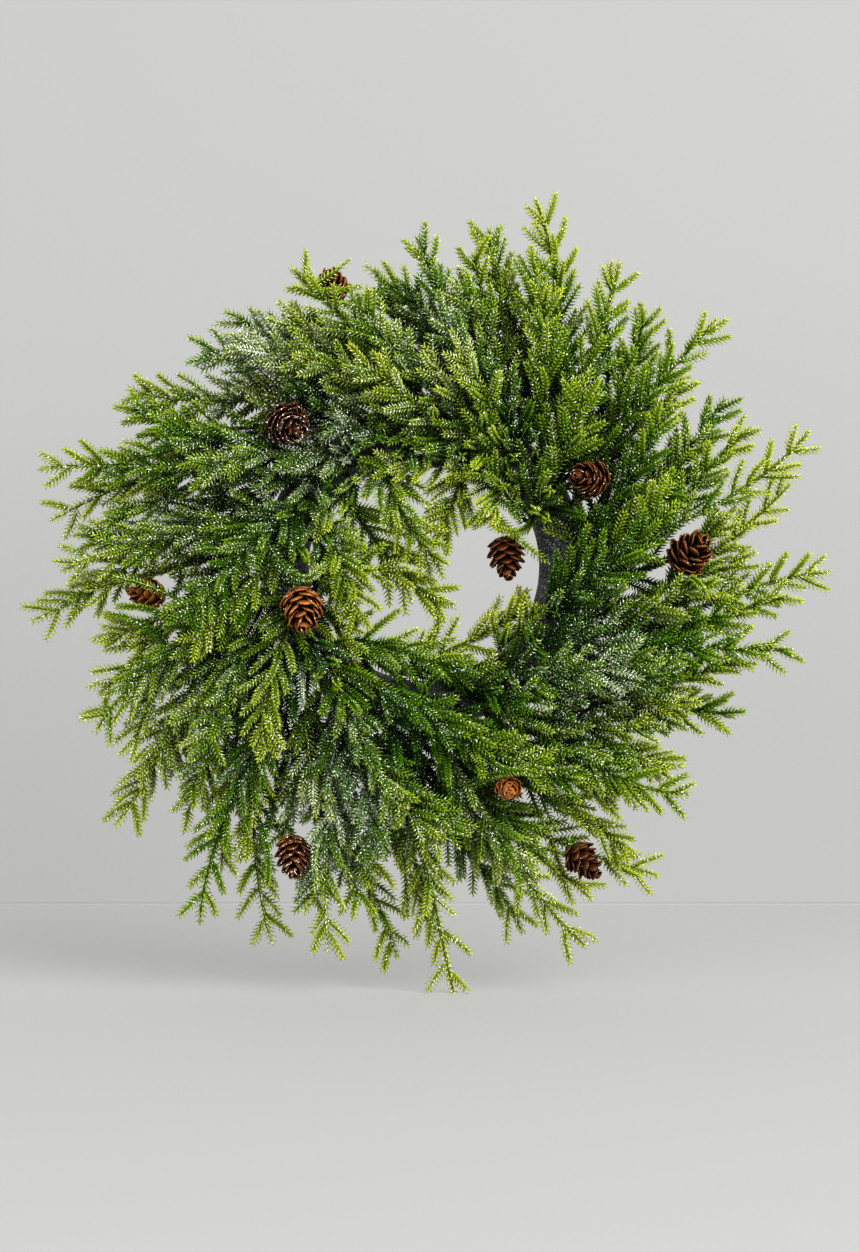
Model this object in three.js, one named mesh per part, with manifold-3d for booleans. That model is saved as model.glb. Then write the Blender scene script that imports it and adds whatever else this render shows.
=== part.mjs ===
// A hanging wreath: a flat-backed ring that carries swept needled sprays and ten small cones.
// Millimetres, +Z up, the front faces -Y, and the origin is on the flat back of the ring at the top.
import * as THREE from "three";
import { mergeVertices } from "three/addons/utils/BufferGeometryUtils.js";
import Module from "manifold-3d";

const wasm = await Module();
wasm.setup();

// Ring
const RING_INNER_RADIUS = 89.4;
const RING_OUTER_RADIUS = 125.4;
const RING_DEPTH = 28;
const RING_SIDE_DEPTH = 4;
const RING_BACK_CHAMFER = 2;
const RING_SEGMENTS = 40;
const RING_DOME_STEPS = 8;
const RING_MID_RADIUS = (RING_INNER_RADIUS + RING_OUTER_RADIUS) / 2;
const RING_HALF_WIDTH = (RING_OUTER_RADIUS - RING_INNER_RADIUS) / 2;
const RING_DOME_DEPTH = RING_DEPTH - RING_SIDE_DEPTH;
const RING_COLOUR = 0x4a4b4d;
const RING_ROUGHNESS = 0.85;

// Stems
const ROOT_GAP = 0.3;
const STEM_ROOT_RADIUS = 2.0;
const STEM_TIP_RADIUS = 1.1;
const STEM_STATION_SPACING = 19.4;
const STEM_FEWEST_STATIONS = 4;
const STEM_BARE_SHARE = 0.13;
const STEM_ROOT_REACH = 0.3;
const STEM_TIP_REACH = 0.38;
const STEADY_SHARE = 0.15;
const TUBE_SIDES = 3;
const FACE_TURNS = [30, 150, 270];
const BACK_FACE = 2;
const FIRST_CORNER_TURN = FACE_TURNS[0] - 180 / TUBE_SIDES;

// Branchlets
const BRANCHLET_ROOT_RADIUS = 1.5;
const BRANCHLET_TIP_RADIUS = 1.0;
const BRANCHLET_ROW_SPACING = 12;
const BRANCHLET_LONGEST = 44;
const BRANCHLET_SHORTEST = 24;
const BRANCHLET_LENGTH_VARIES = 0.06;
const BRANCHLET_ANGLE = 47;
const BRANCHLET_ANGLE_VARIES = 8;
const BRANCHLET_LIFT = 16;
const BRANCHLET_LIFT_VARIES = 30;
const BRANCHLET_LEAST_LIFT = -20;
const BRANCHLET_MOST_LIFT = 75;
const BRANCHLET_FORWARD_BEND = 0.4;

// Needles and foliage finish
const NEEDLE_LENGTH = 6.3;
const NEEDLE_BASE_LENGTH = 2.8;
const NEEDLE_BASE_SHARE = 0.45;
const NEEDLE_LEAN = 45;
const FOLIAGE_COLOUR = 0x557f30;
const FOLIAGE_ROUGHNESS = 0.6;

// Outer sprays: tip angle round the ring, reach from its centre, sweep of the tip off the radius, depth
const OUTER_SPRAYS = [
  [73, 294, 38, 24],
  [57, 272, 21, 60],
  [49, 260, 28, 20],
  [40, 289, 8, 62],
  [29, 265, 25, 20],
  [19, 310, 34, 56],
  [-1, 312, 5, 24],
  [-13, 286, 14, 60],
  [-26, 265, 10, 18],
  [-41, 265, 43, 62],
  [-53, 299, 37, 24],
  [-67, 315, 27, 54],
  [-75, 293, 6, 17],
  [-86, 328, 8, 44],
  [-94, 302, 23, 18],
  [256, 301, 19, 58],
  [248, 313, 38, 22],
  [238, 321, 29, 52],
  [220, 310, 10, 24],
  [207, 278, 33, 64],
  [188, 305, 12, 20],
  [181, 274, 26, 56],
  [173, 290, 37, 18],
  [166, 301, 21, 50],
  [149, 264, 11, 24],
  [136, 233, 42, 66],
  [127, 240, 17, 20],
  [114, 243, 21, 58],
  [101, 236, 38, 22],
  [91, 246, 24, 64],
  [79, 264, 10, 18],
];
const OUTER_LAG = 27;
const OUTER_BACK_SECTION = 24;
const OUTER_FRONT_SECTION = 100;
const DEEP_TIP = 40;

// Front sprays are spaced evenly round the ring
const FRONT_COUNT = 10;
const FRONT_REACH = 182;
const FRONT_LAG = 36;
const FRONT_SWEEP = 52;
const FRONT_DEPTH = 92;
const FRONT_START = 14;
const FRONT_SECTION = 90;
const FRONT_TIP_LIFT = 0.35;

// Inner sprays: root angle, then the tip to the right of and above the ring's centre, heading and depth
const INNER_SPRAYS = [
  [138, 16, -31, 335, 40],
  [112, 12, 2, 320, 62],
  [160, -50, -40, 285, 64],
  [72, 8, 20, 238, 40],
  [44, 38, 28, 205, 60],
  [216, 58, -90, 345, 46],
  [262, 80, -24, 62, 24],
  [180, -18, -4, 5, 66],
];
const INNER_BACK_SECTION = 150;
const INNER_FRONT_SECTION = 118;

// Cones: centre right of, above and in front of the ring's back, width, length, then the way the apex
// points: right, towards the viewer, up
const CONES = [
  [-100, 103, 88, 38, 42, 0.35, 0.88, -0.3],
  [123, 64, 85, 32, 36, -0.6, 0.78, 0.1],
  [63, 5, 45, 30, 35, 0.1, 0.35, -0.93],
  [203, 10, 62, 36, 40, 0.4, 0.75, 0.5],
  [-91, -35, 82, 34, 42, 0.1, 0.7, -0.7],
  [64, -168, 82, 26, 33, 0.1, 0.95, -0.2],
  [122, -226, 56, 30, 34, 0.6, 0.5, -0.6],
  [-99, -222, 58, 29, 36, 0.05, 0.5, -0.86],
  [-70, 213, 52, 28, 33, -0.2, 0.8, 0.55],
  [-212, -22, 44, 26, 33, -0.8, 0.55, 0.1],
];
const CONE_ROWS = 5;
const CONE_SCALES_A_ROW = 6;
const CONE_COLOUR = 0x6f4326;
const CONE_ROUGHNESS = 0.45;

// A cone's outline bulges like part of a sine, flattened by a power, between two shares of half a turn
const CONE_OUTLINE_START = 0.26;
const CONE_OUTLINE_SPAN = 0.66;
const CONE_OUTLINE_POWER = 0.62;
const SCALE_ROOT_GIRTH = 0.7;
const SCALE_NOTCH_GIRTH = 0.88;
const SCALE_OVERHANG_ROWS = 1.3;
const SCALE_NOTCH_ROWS = 0.35;
const CONE_APEX_ROWS = 0.6;

// Twigs that carry the cones
const TWIG_RADIUS = 1.1;
const TWIG_ROWS = 4;
const TWIG_GAP = 0.3;
const TWIG_REACH = 0.4;
const TWIG_SHORTEST = 9;
const TWIG_LEAST_FACING = 0.45;

// Room kept between axes, and how each new try loosens the plan
const BEAD_SPACING = 4.5;
const STEM_ROOM = 6;
const STEM_RING_ROOM = 4;
const STEM_BACK_ROOM = 13;
const BRANCHLET_ROOM = 7.5;
const BRANCHLET_BACK_ROOM = 7;
const BRANCHLET_RING_ROOM = 4;
const OWN_ROOM = 5;
const OWN_ROOT_ZONE = 12;
const TWIG_ROOM = 4;
const TWIG_ROOT_ZONE = 8;
const CONE_BEADS = [-0.3, -0.1, 0.1, 0.3];
const CONE_BEAD_INSET = 1;
const TRIES = 16;
const ROOT_ANGLE_VARIES = 5;
const SECTION_VARIES = 8;
const SECTION_EDGE = 5;
const DEPTH_VARIES = 8;
const STEM_FIRST_LOOSENESS = 0.35;
const STEM_LOOSER_EACH_TRY = 0.25;
const BRANCHLET_LOOSER_EACH_TRY = 0.12;
const BRANCHLET_SHORTER_EACH_TRY = 0.025;

// Room kept round each needle
const NEEDLE_BEADS = [0.5, 0.75, 1];
const NEEDLE_BEAD_SPACING = 3;
const NEEDLE_ROOM = 2.3;
const NEEDLE_AXIS_RADIUS = 1.1;
const NEEDLE_RING_ROOM = 1;
const NEEDLE_ROOT_ZONE = 3.8;
const SPROUT_ROOT_ZONE = 5;

// Seeds, one block of them for each spray
const SPRAY_SEEDS = 1000;
const BRANCHLET_SEEDS = 100;
const STATION_SEEDS = 20;

const MERGE_DISTANCE = 1e-3;
const TOWARDS_VIEWER = new THREE.Vector3(0, -1, 0);
const radians = THREE.MathUtils.degToRad;
const between = THREE.MathUtils.lerp;
const clamp = THREE.MathUtils.clamp;

// Repeatable draws between 0 and 1, from the small generator known as mulberry32
const SEED_STEP = 0x6d2b79f5;
const DRAW_RANGE = 2 ** 32;

function drawsFrom(seed) {
  let state = seed >>> 0;
  return () => {
    state = (state + SEED_STEP) >>> 0;
    let mixed = Math.imul(state ^ (state >>> 15), state | 1);
    mixed ^= mixed + Math.imul(mixed ^ (mixed >>> 7), mixed | 61);
    return ((mixed ^ (mixed >>> 14)) >>> 0) / DRAW_RANGE;
  };
}

function spread(draw, amount) {
  return (draw() * 2 - 1) * amount;
}

function middleOf(points) {
  const sum = new THREE.Vector3();
  points.forEach((point) => sum.add(point));
  return sum.multiplyScalar(1 / points.length);
}

function label(kind, index) {
  return `${kind}_${String(index + 1).padStart(2, "0")}`;
}

// Places and ways on the wreath, seen from the front, with the ring's centre as the zero point
function onWreath(angle, reach, depth) {
  const turn = radians(angle);
  return new THREE.Vector3(reach * Math.cos(turn), -depth, reach * Math.sin(turn));
}

function heading(angle) {
  return new THREE.Vector3(Math.cos(radians(angle)), 0, Math.sin(radians(angle)));
}

// The domed front of the ring: its radius and depth at a section angle, 0 outward and 180 into the hole
function ringSection(section) {
  return {
    radius: RING_MID_RADIUS + RING_HALF_WIDTH * Math.cos(radians(section)),
    depth: RING_SIDE_DEPTH + RING_DOME_DEPTH * Math.sin(radians(section)),
  };
}

// The middle of the flat facet of the ring at an angle and a section, and the way that facet faces
function ringFacet(angle, section) {
  const turnStep = 360 / RING_SEGMENTS;
  const sectionStep = 180 / RING_DOME_STEPS;
  const turn = (Math.floor(angle / turnStep) + 0.5) * turnStep;
  const first = Math.floor(section / sectionStep) * sectionStep;
  const outer = ringSection(first);
  const inner = ringSection(first + sectionStep);
  const chord = Math.cos(radians(turnStep / 2));
  const reach = ((outer.radius + inner.radius) / 2) * chord;
  const place = onWreath(turn, reach, (outer.depth + inner.depth) / 2);
  const facing = heading(turn)
    .multiplyScalar(inner.depth - outer.depth)
    .addScaledVector(TOWARDS_VIEWER, (outer.radius - inner.radius) * chord)
    .normalize();
  return { place, facing };
}

// An axis knows its length, its places and its ways
function axisOn(curve, length) {
  return { length, at: (share) => curve.getPoint(share), along: (share) => curve.getTangent(share) };
}

function bentAxis(start, startWay, end, endWay, startReach, endReach) {
  const span = start.distanceTo(end);
  const startHandle = start.clone().addScaledVector(startWay, span * startReach);
  const endHandle = end.clone().addScaledVector(endWay, -span * endReach);
  return axisOn(new THREE.CubicBezierCurve3(start, startHandle, endHandle, end), span);
}

// Beads along every axis keep the pieces apart
const beads = [];

function pointsAlong(axis, spacing) {
  const steps = Math.max(2, Math.ceil(axis.length / spacing));
  return Array.from({ length: steps + 1 }, (_, i) => axis.at(i / steps));
}

function isClear(points, room, matters, group) {
  return points.every((point) =>
    group.every((bead) => {
      const reach = room + bead.radius;
      return point.distanceToSquared(bead.place) >= reach * reach || !matters(bead);
    }),
  );
}

function touchesRing(point, room) {
  const across = (Math.hypot(point.x, point.z) - RING_MID_RADIUS) / (RING_HALF_WIDTH + room);
  const out = Math.max(0, -point.y - RING_SIDE_DEPTH) / (RING_DOME_DEPTH + room);
  return across * across + out * out < 1;
}

// Which way is sideways and which is frontwards on a stem, at a share of its length
function stemSides(stem, share) {
  const along = stem.along(share);
  const side = TOWARDS_VIEWER.clone().cross(stem.along(Math.max(share, STEADY_SHARE)));
  side.projectOnPlane(along).normalize();
  return { along, side, front: along.clone().cross(side) };
}

function turnedWay({ side, front }, degrees) {
  const turn = radians(degrees);
  return side.clone().multiplyScalar(Math.cos(turn)).addScaledVector(front, Math.sin(turn));
}

// Cones take their places first, and the stems pass clear of them
function plannedCones() {
  return CONES.map(([right, up, front, width, length, apexRight, apexFront, apexUp], index) => ({
    name: label("cone", index),
    centre: new THREE.Vector3(right, -front, up),
    way: new THREE.Vector3(apexRight, -apexFront, apexUp).normalize(),
    width,
    length,
  }));
}

function beadCone(cone) {
  for (const share of CONE_BEADS) {
    const place = cone.centre.clone().addScaledVector(cone.way, cone.length * share);
    beads.push({ place, owner: cone.name, radius: cone.width / 2 - CONE_BEAD_INSET });
  }
}

function plannedSprays() {
  const outer = OUTER_SPRAYS.map(([angle, reach, sweep, depth], i) => ({
    name: label("spray_outer", i),
    rootAngle: angle - OUTER_LAG,
    section: depth > DEEP_TIP ? OUTER_FRONT_SECTION : OUTER_BACK_SECTION,
    tip: onWreath(angle, reach, depth),
    tipWay: heading(angle + sweep),
  }));
  const front = Array.from({ length: FRONT_COUNT }, (_, i) => {
    const angle = FRONT_START + (360 / FRONT_COUNT) * i;
    const flatWay = heading(angle + FRONT_SWEEP);
    return {
      name: label("spray_front", i),
      rootAngle: angle - FRONT_LAG,
      section: FRONT_SECTION,
      tip: onWreath(angle, FRONT_REACH, FRONT_DEPTH),
      tipWay: flatWay.addScaledVector(TOWARDS_VIEWER, FRONT_TIP_LIFT).normalize(),
    };
  });
  const inner = INNER_SPRAYS.map(([rootAngle, right, up, way, depth], i) => ({
    name: label("spray_inner", i),
    rootAngle,
    section: depth > DEEP_TIP ? INNER_FRONT_SECTION : INNER_BACK_SECTION,
    tip: new THREE.Vector3(right, -depth, up),
    tipWay: heading(way),
  }));
  return [...outer, ...front, ...inner].map((plan, i) => ({ ...plan, seed: SPRAY_SEEDS * (i + 1) }));
}

// A stem leaves its facet of the ring square on, and bends over to its tip
function stemOf(plan, attempt) {
  const draw = drawsFrom(plan.seed + attempt);
  const loosen = STEM_FIRST_LOOSENESS + attempt * STEM_LOOSER_EACH_TRY;
  const angle = plan.rootAngle + spread(draw, ROOT_ANGLE_VARIES) * loosen;
  const section = plan.section + spread(draw, SECTION_VARIES) * loosen;
  const root = ringFacet(angle, clamp(section, SECTION_EDGE, 180 - SECTION_EDGE));
  const start = root.place.addScaledVector(root.facing, ROOT_GAP);
  const end = plan.tip.clone();
  end.y = Math.min(end.y - spread(draw, DEPTH_VARIES) * loosen, -STEM_BACK_ROOM);
  return bentAxis(start, root.facing, end, plan.tipWay, STEM_ROOT_REACH, STEM_TIP_REACH);
}

function growStem(spray) {
  for (let attempt = 0; attempt < TRIES; attempt++) {
    spray.stem = stemOf(spray, attempt);
    const points = pointsAlong(spray.stem, BEAD_SPACING);
    const away = points.filter((point) => point.distanceTo(points[0]) > OWN_ROOT_ZONE);
    if (away.some((point) => touchesRing(point, STEM_RING_ROOM))) continue;
    if (isClear(points, STEM_ROOM, () => true, beads)) break;
  }
  for (const place of pointsAlong(spray.stem, BEAD_SPACING)) {
    beads.push({ place, owner: spray.name, radius: 0 });
  }
  spray.stations = Math.max(
    STEM_FEWEST_STATIONS,
    Math.round(spray.stem.length / STEM_STATION_SPACING),
  );
  spray.sprouts = new Map();
}

function spotOn(station, face) {
  return `${station}/${face}`;
}

// Each cone sits on a bare twig, from the nearest face of a stem that looks its way
function twigSeats(base) {
  const seats = [];
  for (const spray of sprays) {
    for (let station = 1; station < spray.stations; station++) {
      const share = station / spray.stations;
      const from = spray.stem.at(share);
      const far = from.distanceTo(base);
      const straight = base.clone().sub(from).normalize();
      FACE_TURNS.forEach((degrees, face) => {
        const outward = turnedWay(stemSides(spray.stem, share), degrees);
        const faces = outward.dot(straight) > TWIG_LEAST_FACING;
        const isFree = !spray.sprouts.has(spotOn(station, face));
        if (far < TWIG_SHORTEST || !faces || !isFree) return;
        seats.push({ spray, station, face, from, way: outward.add(straight).normalize(), far });
      });
    }
  }
  return seats.sort((a, b) => a.far - b.far);
}

function twigFits(twig, seat, cone, base) {
  const points = pointsAlong(twig, BEAD_SPACING);
  const isPastBase = (point) => point.clone().sub(base).dot(cone.way) > -TWIG_GAP;
  if (points.slice(0, -1).some(isPastBase)) return false;
  if (points.slice(2).some((point) => touchesRing(point, TWIG_RADIUS))) return false;
  const isOther = (bead) => bead.owner !== cone.name && bead.owner !== seat.spray.name;
  if (!isClear(points, TWIG_ROOM, isOther, beads)) return false;
  const away = points.filter((point) => point.distanceTo(seat.from) > TWIG_ROOT_ZONE);
  return isClear(away, OWN_ROOM, (bead) => bead.owner === seat.spray.name, beads);
}

function seatCone(cone) {
  const base = cone.centre.clone().addScaledVector(cone.way, -cone.length / 2 - TWIG_GAP);
  for (const seat of twigSeats(base)) {
    const twig = bentAxis(seat.from, seat.way, base, cone.way, TWIG_REACH, TWIG_REACH);
    if (!twigFits(twig, seat, cone, base)) continue;
    const { spray, station, face } = seat;
    spray.sprouts.set(spotOn(station, face), { axis: twig, isTwig: true });
    spray.twigStation = station;
    for (const place of pointsAlong(twig, BEAD_SPACING)) {
      beads.push({ place, owner: spray.name, radius: 0, isTwig: true });
    }
    return;
  }
  throw new Error(`${cone.name} has no twig`);
}

// Branchlets leave the stem on alternate sides and bend a little towards its tip
function branchletOf(spray, station, face, attempt) {
  const draw = drawsFrom(spray.seed + BRANCHLET_SEEDS + station * STATION_SEEDS + attempt);
  const loosen = 1 + attempt * BRANCHLET_LOOSER_EACH_TRY;
  const share = station / spray.stations;
  const sides = stemSides(spray.stem, share);
  const wantedLift = BRANCHLET_LIFT + spread(draw, BRANCHLET_LIFT_VARIES) * loosen;
  const lift = clamp(wantedLift, BRANCHLET_LEAST_LIFT, BRANCHLET_MOST_LIFT);
  const out = turnedWay(sides, face === 0 ? lift : 180 - lift);
  const lean = radians(BRANCHLET_ANGLE + spread(draw, BRANCHLET_ANGLE_VARIES) * loosen);
  const way = sides.along.clone().multiplyScalar(Math.cos(lean)).addScaledVector(out, Math.sin(lean));
  const shorter = 1 - BRANCHLET_SHORTER_EACH_TRY * attempt;
  const varied = 1 + spread(draw, BRANCHLET_LENGTH_VARIES);
  const length = between(BRANCHLET_LONGEST, BRANCHLET_SHORTEST, share) * shorter * varied;
  const endWay = way.clone().addScaledVector(sides.along, BRANCHLET_FORWARD_BEND).normalize();
  const start = spray.stem.at(share);
  const middle = start.clone().addScaledVector(way, length / 2);
  const end = middle.clone().addScaledVector(endWay, length / 2);
  return axisOn(new THREE.QuadraticBezierCurve3(start, middle, end), length);
}

function branchletFits(axis, spray) {
  const points = pointsAlong(axis, BEAD_SPACING).slice(1);
  if (points.some((point) => -point.y < BRANCHLET_BACK_ROOM)) return false;
  if (points.some((point) => touchesRing(point, BRANCHLET_RING_ROOM))) return false;
  const isOwn = (bead) => bead.owner === spray.name;
  if (!isClear(points, BRANCHLET_ROOM, (bead) => !isOwn(bead), beads)) return false;
  if (!isClear(points, TWIG_ROOM, (bead) => isOwn(bead) && bead.isTwig, beads)) return false;
  const away = points.filter((point) => point.distanceTo(axis.at(0)) > OWN_ROOT_ZONE);
  return isClear(away, OWN_ROOM, isOwn, beads);
}

function growBranchlets(spray) {
  for (let station = 1; station < spray.stations; station++) {
    const isBare = station / spray.stations < STEM_BARE_SHARE;
    if (isBare || station === spray.twigStation) continue;
    const face = station % 2;
    for (let attempt = 0; attempt < TRIES; attempt++) {
      const axis = branchletOf(spray, station, face, attempt);
      if (!branchletFits(axis, spray)) continue;
      spray.sprouts.set(spotOn(station, face), { axis, isTwig: false });
      for (const place of pointsAlong(axis, BEAD_SPACING).slice(1)) {
        beads.push({ place, owner: spray.name, radius: 0 });
      }
      break;
    }
  }
}

const cones = plannedCones();
cones.forEach(beadCone);
const coneBeads = [...beads];
const sprays = plannedSprays();
sprays.forEach(growStem);
cones.forEach(seatCone);
sprays.forEach(growBranchlets);

// Needles are kept clear of every other axis and needle
const needleBeads = [...coneBeads];

function beadAxis(axis, owner, rootZone) {
  for (const place of pointsAlong(axis, NEEDLE_BEAD_SPACING)) {
    if (place.distanceTo(axis.at(0)) < rootZone) continue;
    needleBeads.push({ place, owner, axis, radius: NEEDLE_AXIS_RADIUS });
  }
}

for (const spray of sprays) {
  beadAxis(spray.stem, spray.name, 0);
  for (const { axis } of spray.sprouts.values()) beadAxis(axis, spray.name, SPROUT_ROOT_ZONE);
}

function needleFits(foot, apex, owner, axis) {
  const points = NEEDLE_BEADS.map((share) => foot.clone().lerp(apex, share));
  if (points.some((point) => touchesRing(point, NEEDLE_RING_ROOM))) return false;
  const matters = (bead) =>
    bead.owner !== owner || (bead.axis !== axis && bead.place.distanceTo(foot) > NEEDLE_ROOT_ZONE);
  if (!isClear(points, NEEDLE_ROOM, matters, needleBeads)) return false;
  points.forEach((place) => needleBeads.push({ place, owner, axis, radius: 0 }));
  return true;
}

// A skin is a list of triangles, which closes up once everything has been raised from it
function newSkin() {
  const positions = [];
  return {
    face: (...corners) => corners.forEach((corner) => positions.push(...corner.toArray())),
    geometry: () => {
      const attribute = new THREE.Float32BufferAttribute(positions, 3);
      return new THREE.BufferGeometry().setAttribute("position", attribute);
    },
  };
}

function solidFrom(geometry) {
  const bare = new THREE.BufferGeometry();
  bare.setAttribute("position", geometry.getAttribute("position"));
  bare.setIndex(geometry.getIndex());
  const merged = mergeVertices(bare, MERGE_DISTANCE);
  const mesh = new wasm.Mesh({
    numProp: 3,
    vertProperties: merged.getAttribute("position").array,
    triVerts: new Uint32Array(merged.getIndex().array),
  });
  return new wasm.Manifold(mesh);
}

function closedGeometry(geometry) {
  const mesh = solidFrom(geometry).getMesh();
  const closed = new THREE.BufferGeometry();
  closed.setAttribute("position", new THREE.BufferAttribute(mesh.vertProperties, 3));
  closed.setIndex(new THREE.BufferAttribute(mesh.triVerts, 1));
  closed.computeVertexNormals();
  return closed;
}

// Tubes are three-sided and grow row by row
function rowAt(axis, share, side, radius) {
  const along = axis.along(share);
  const across = side.clone().projectOnPlane(along).normalize();
  const frame = { side: across, front: along.clone().cross(across) };
  return Array.from({ length: TUBE_SIDES }, (_, k) =>
    axis.at(share).addScaledVector(turnedWay(frame, (360 / TUBE_SIDES) * k), radius),
  );
}

// The next row is turned so that its corners lie straight ahead of the corners before them
function rowAfter(before, axis, share, radius) {
  const along = axis.along(share);
  const middle = middleOf(before);
  const side = new THREE.Vector3();
  before.forEach((corner, k) => {
    const spoke = corner.clone().sub(middle).projectOnPlane(along);
    side.add(spoke.applyAxisAngle(along, -radians((360 / TUBE_SIDES) * k)));
  });
  return rowAt(axis, share, side, radius);
}

// A plot is the rear part of a tube's face, where a needle, a branchlet or a twig can be raised
function plotOn(a, b, ahead) {
  const foot = middleOf([a, b]);
  const along = middleOf(ahead).sub(foot);
  const baseLength = Math.min(NEEDLE_BASE_LENGTH, along.length() * NEEDLE_BASE_SHARE);
  along.normalize();
  const outward = b.clone().sub(a).cross(along).normalize();
  return { foot, along, outward, front: foot.clone().addScaledVector(along, baseLength) };
}

// Joins rows into a skin. The call raise(row, side, corners, plot) says whether it raised something
function skinOver(skin, rows, tip, raise) {
  rows.forEach((row, i) => {
    const next = rows[i + 1];
    if (!next && !tip) return;
    row.forEach((a, k) => {
      const after = (k + 1) % row.length;
      const b = row[after];
      const ahead = next ? [next[after], next[k]] : [tip];
      const plot = plotOn(a, b, ahead);
      if (raise(i, k, [a, b, plot.front], plot)) {
        const loop = [b, ...ahead, a];
        loop.slice(1).forEach((corner, j) => skin.face(loop[j], corner, plot.front));
      } else {
        skin.face(a, b, ahead[0]);
        if (next) skin.face(a, ...ahead);
      }
    });
  });
}

function raiseNeedle(skin, corners, plot, owner, axis) {
  const lean = radians(NEEDLE_LEAN);
  const apex = plot.foot.clone();
  apex.addScaledVector(plot.along, NEEDLE_LENGTH * Math.cos(lean));
  apex.addScaledVector(plot.outward, NEEDLE_LENGTH * Math.sin(lean));
  if (!needleFits(plot.foot, apex, owner, axis)) return false;
  corners.forEach((corner, k) => skin.face(corner, corners[(k + 1) % corners.length], apex));
  return true;
}

function raiseBranchlet(skin, corners, axis, owner) {
  const count = Math.round(axis.length / BRANCHLET_ROW_SPACING);
  const rows = [corners];
  for (let i = 1; i < count; i++) {
    const radius = between(BRANCHLET_ROOT_RADIUS, BRANCHLET_TIP_RADIUS, i / count);
    rows.push(rowAfter(rows.at(-1), axis, i / count, radius));
  }
  skinOver(skin, rows, axis.at(1), (i, k, base, plot) => {
    const isLast = i === count - 1;
    const isWanted = isLast || (i > 0 && k !== i % TUBE_SIDES);
    return isWanted && raiseNeedle(skin, base, plot, owner, axis);
  });
}

function raiseTwig(skin, corners, axis) {
  const rows = [corners];
  for (let i = 1; i <= TWIG_ROWS; i++) {
    rows.push(rowAfter(rows.at(-1), axis, i / TWIG_ROWS, TWIG_RADIUS));
  }
  skinOver(skin, rows, null, () => false);
  skin.face(...rows[TWIG_ROWS]);
}

function sprayGeometry(spray) {
  const skin = newSkin();
  const rows = Array.from({ length: spray.stations }, (_, i) => {
    const share = i / spray.stations;
    const firstSide = turnedWay(stemSides(spray.stem, share), FIRST_CORNER_TURN);
    return rowAt(spray.stem, share, firstSide, between(STEM_ROOT_RADIUS, STEM_TIP_RADIUS, share));
  });
  skin.face(...rows[0].toReversed());
  skinOver(skin, rows, spray.stem.at(1), (i, k, base, plot) => {
    const sprout = spray.sprouts.get(spotOn(i, k));
    if (sprout?.isTwig) raiseTwig(skin, base, sprout.axis);
    else if (sprout) raiseBranchlet(skin, base, sprout.axis, spray.name);
    if (sprout) return true;
    const isLast = i === spray.stations - 1;
    const isWanted = isLast || (k === BACK_FACE && i / spray.stations > STEM_BARE_SHARE);
    return isWanted && raiseNeedle(skin, base, plot, spray.name, spray.stem);
  });
  return closedGeometry(skin.geometry());
}

// A cone is one skin of overlapping scales: each row has a sunken loop and an overhanging scalloped lip
function coneLoops(cone) {
  const rowHeight = cone.length / (CONE_ROWS + CONE_APEX_ROWS);
  const around = 2 * CONE_SCALES_A_ROW;
  const loops = [];
  for (let row = 0; row < CONE_ROWS; row++) {
    const share = (row + 0.5) / CONE_ROWS;
    const bulge = Math.sin(Math.PI * (CONE_OUTLINE_START + CONE_OUTLINE_SPAN * share));
    const girth = (cone.width / 2) * bulge ** CONE_OUTLINE_POWER;
    const place = (k, radius, height) => {
      const turn = (2 * Math.PI * k) / around;
      return new THREE.Vector3(radius * Math.cos(turn), radius * Math.sin(turn), height);
    };
    const indices = Array.from({ length: around }, (_, k) => k);
    loops.push(indices.map((k) => place(k, girth * SCALE_ROOT_GIRTH, row * rowHeight)));
    loops.push(
      indices.map((k) => {
        const isNotch = (k + row) % 2 === 1;
        const height = row + SCALE_OVERHANG_ROWS - (isNotch ? SCALE_NOTCH_ROWS : 0);
        return place(k, girth * (isNotch ? SCALE_NOTCH_GIRTH : 1), height * rowHeight);
      }),
    );
  }
  return loops;
}

function coneGeometry(cone) {
  const skin = newSkin();
  const loops = coneLoops(cone);
  const base = new THREE.Vector3(0, 0, 0);
  const apex = new THREE.Vector3(0, 0, cone.length);
  loops[0].forEach((_, k) => {
    const next = (k + 1) % loops[0].length;
    skin.face(base, loops[0][next], loops[0][k]);
    loops.slice(1).forEach((upper, i) => {
      skin.face(loops[i][k], loops[i][next], upper[next]);
      skin.face(loops[i][k], upper[next], upper[k]);
    });
    skin.face(loops.at(-1)[k], loops.at(-1)[next], apex);
  });
  const turn = new THREE.Quaternion().setFromUnitVectors(new THREE.Vector3(0, 0, 1), cone.way);
  const geometry = skin.geometry();
  geometry.translate(0, 0, -cone.length / 2);
  geometry.applyQuaternion(turn);
  geometry.translate(cone.centre.x, cone.centre.y, cone.centre.z);
  return closedGeometry(geometry);
}

// The ring is a D-shaped profile, flat at the back, turned round the wreath's axis
function ringGeometry() {
  const profile = [new THREE.Vector2(RING_INNER_RADIUS + RING_BACK_CHAMFER, 0)];
  profile.push(new THREE.Vector2(RING_INNER_RADIUS, -RING_BACK_CHAMFER));
  for (let i = RING_DOME_STEPS; i >= 0; i--) {
    const { radius, depth } = ringSection((180 * i) / RING_DOME_STEPS);
    profile.push(new THREE.Vector2(radius, -depth));
  }
  profile.push(new THREE.Vector2(RING_OUTER_RADIUS, -RING_BACK_CHAMFER));
  profile.push(new THREE.Vector2(RING_OUTER_RADIUS - RING_BACK_CHAMFER, 0));
  profile.push(profile[0].clone());
  return closedGeometry(new THREE.LatheGeometry(profile, RING_SEGMENTS));
}

// Assembly, with the ring's centre hung below the origin
const group = new THREE.Group();

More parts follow.
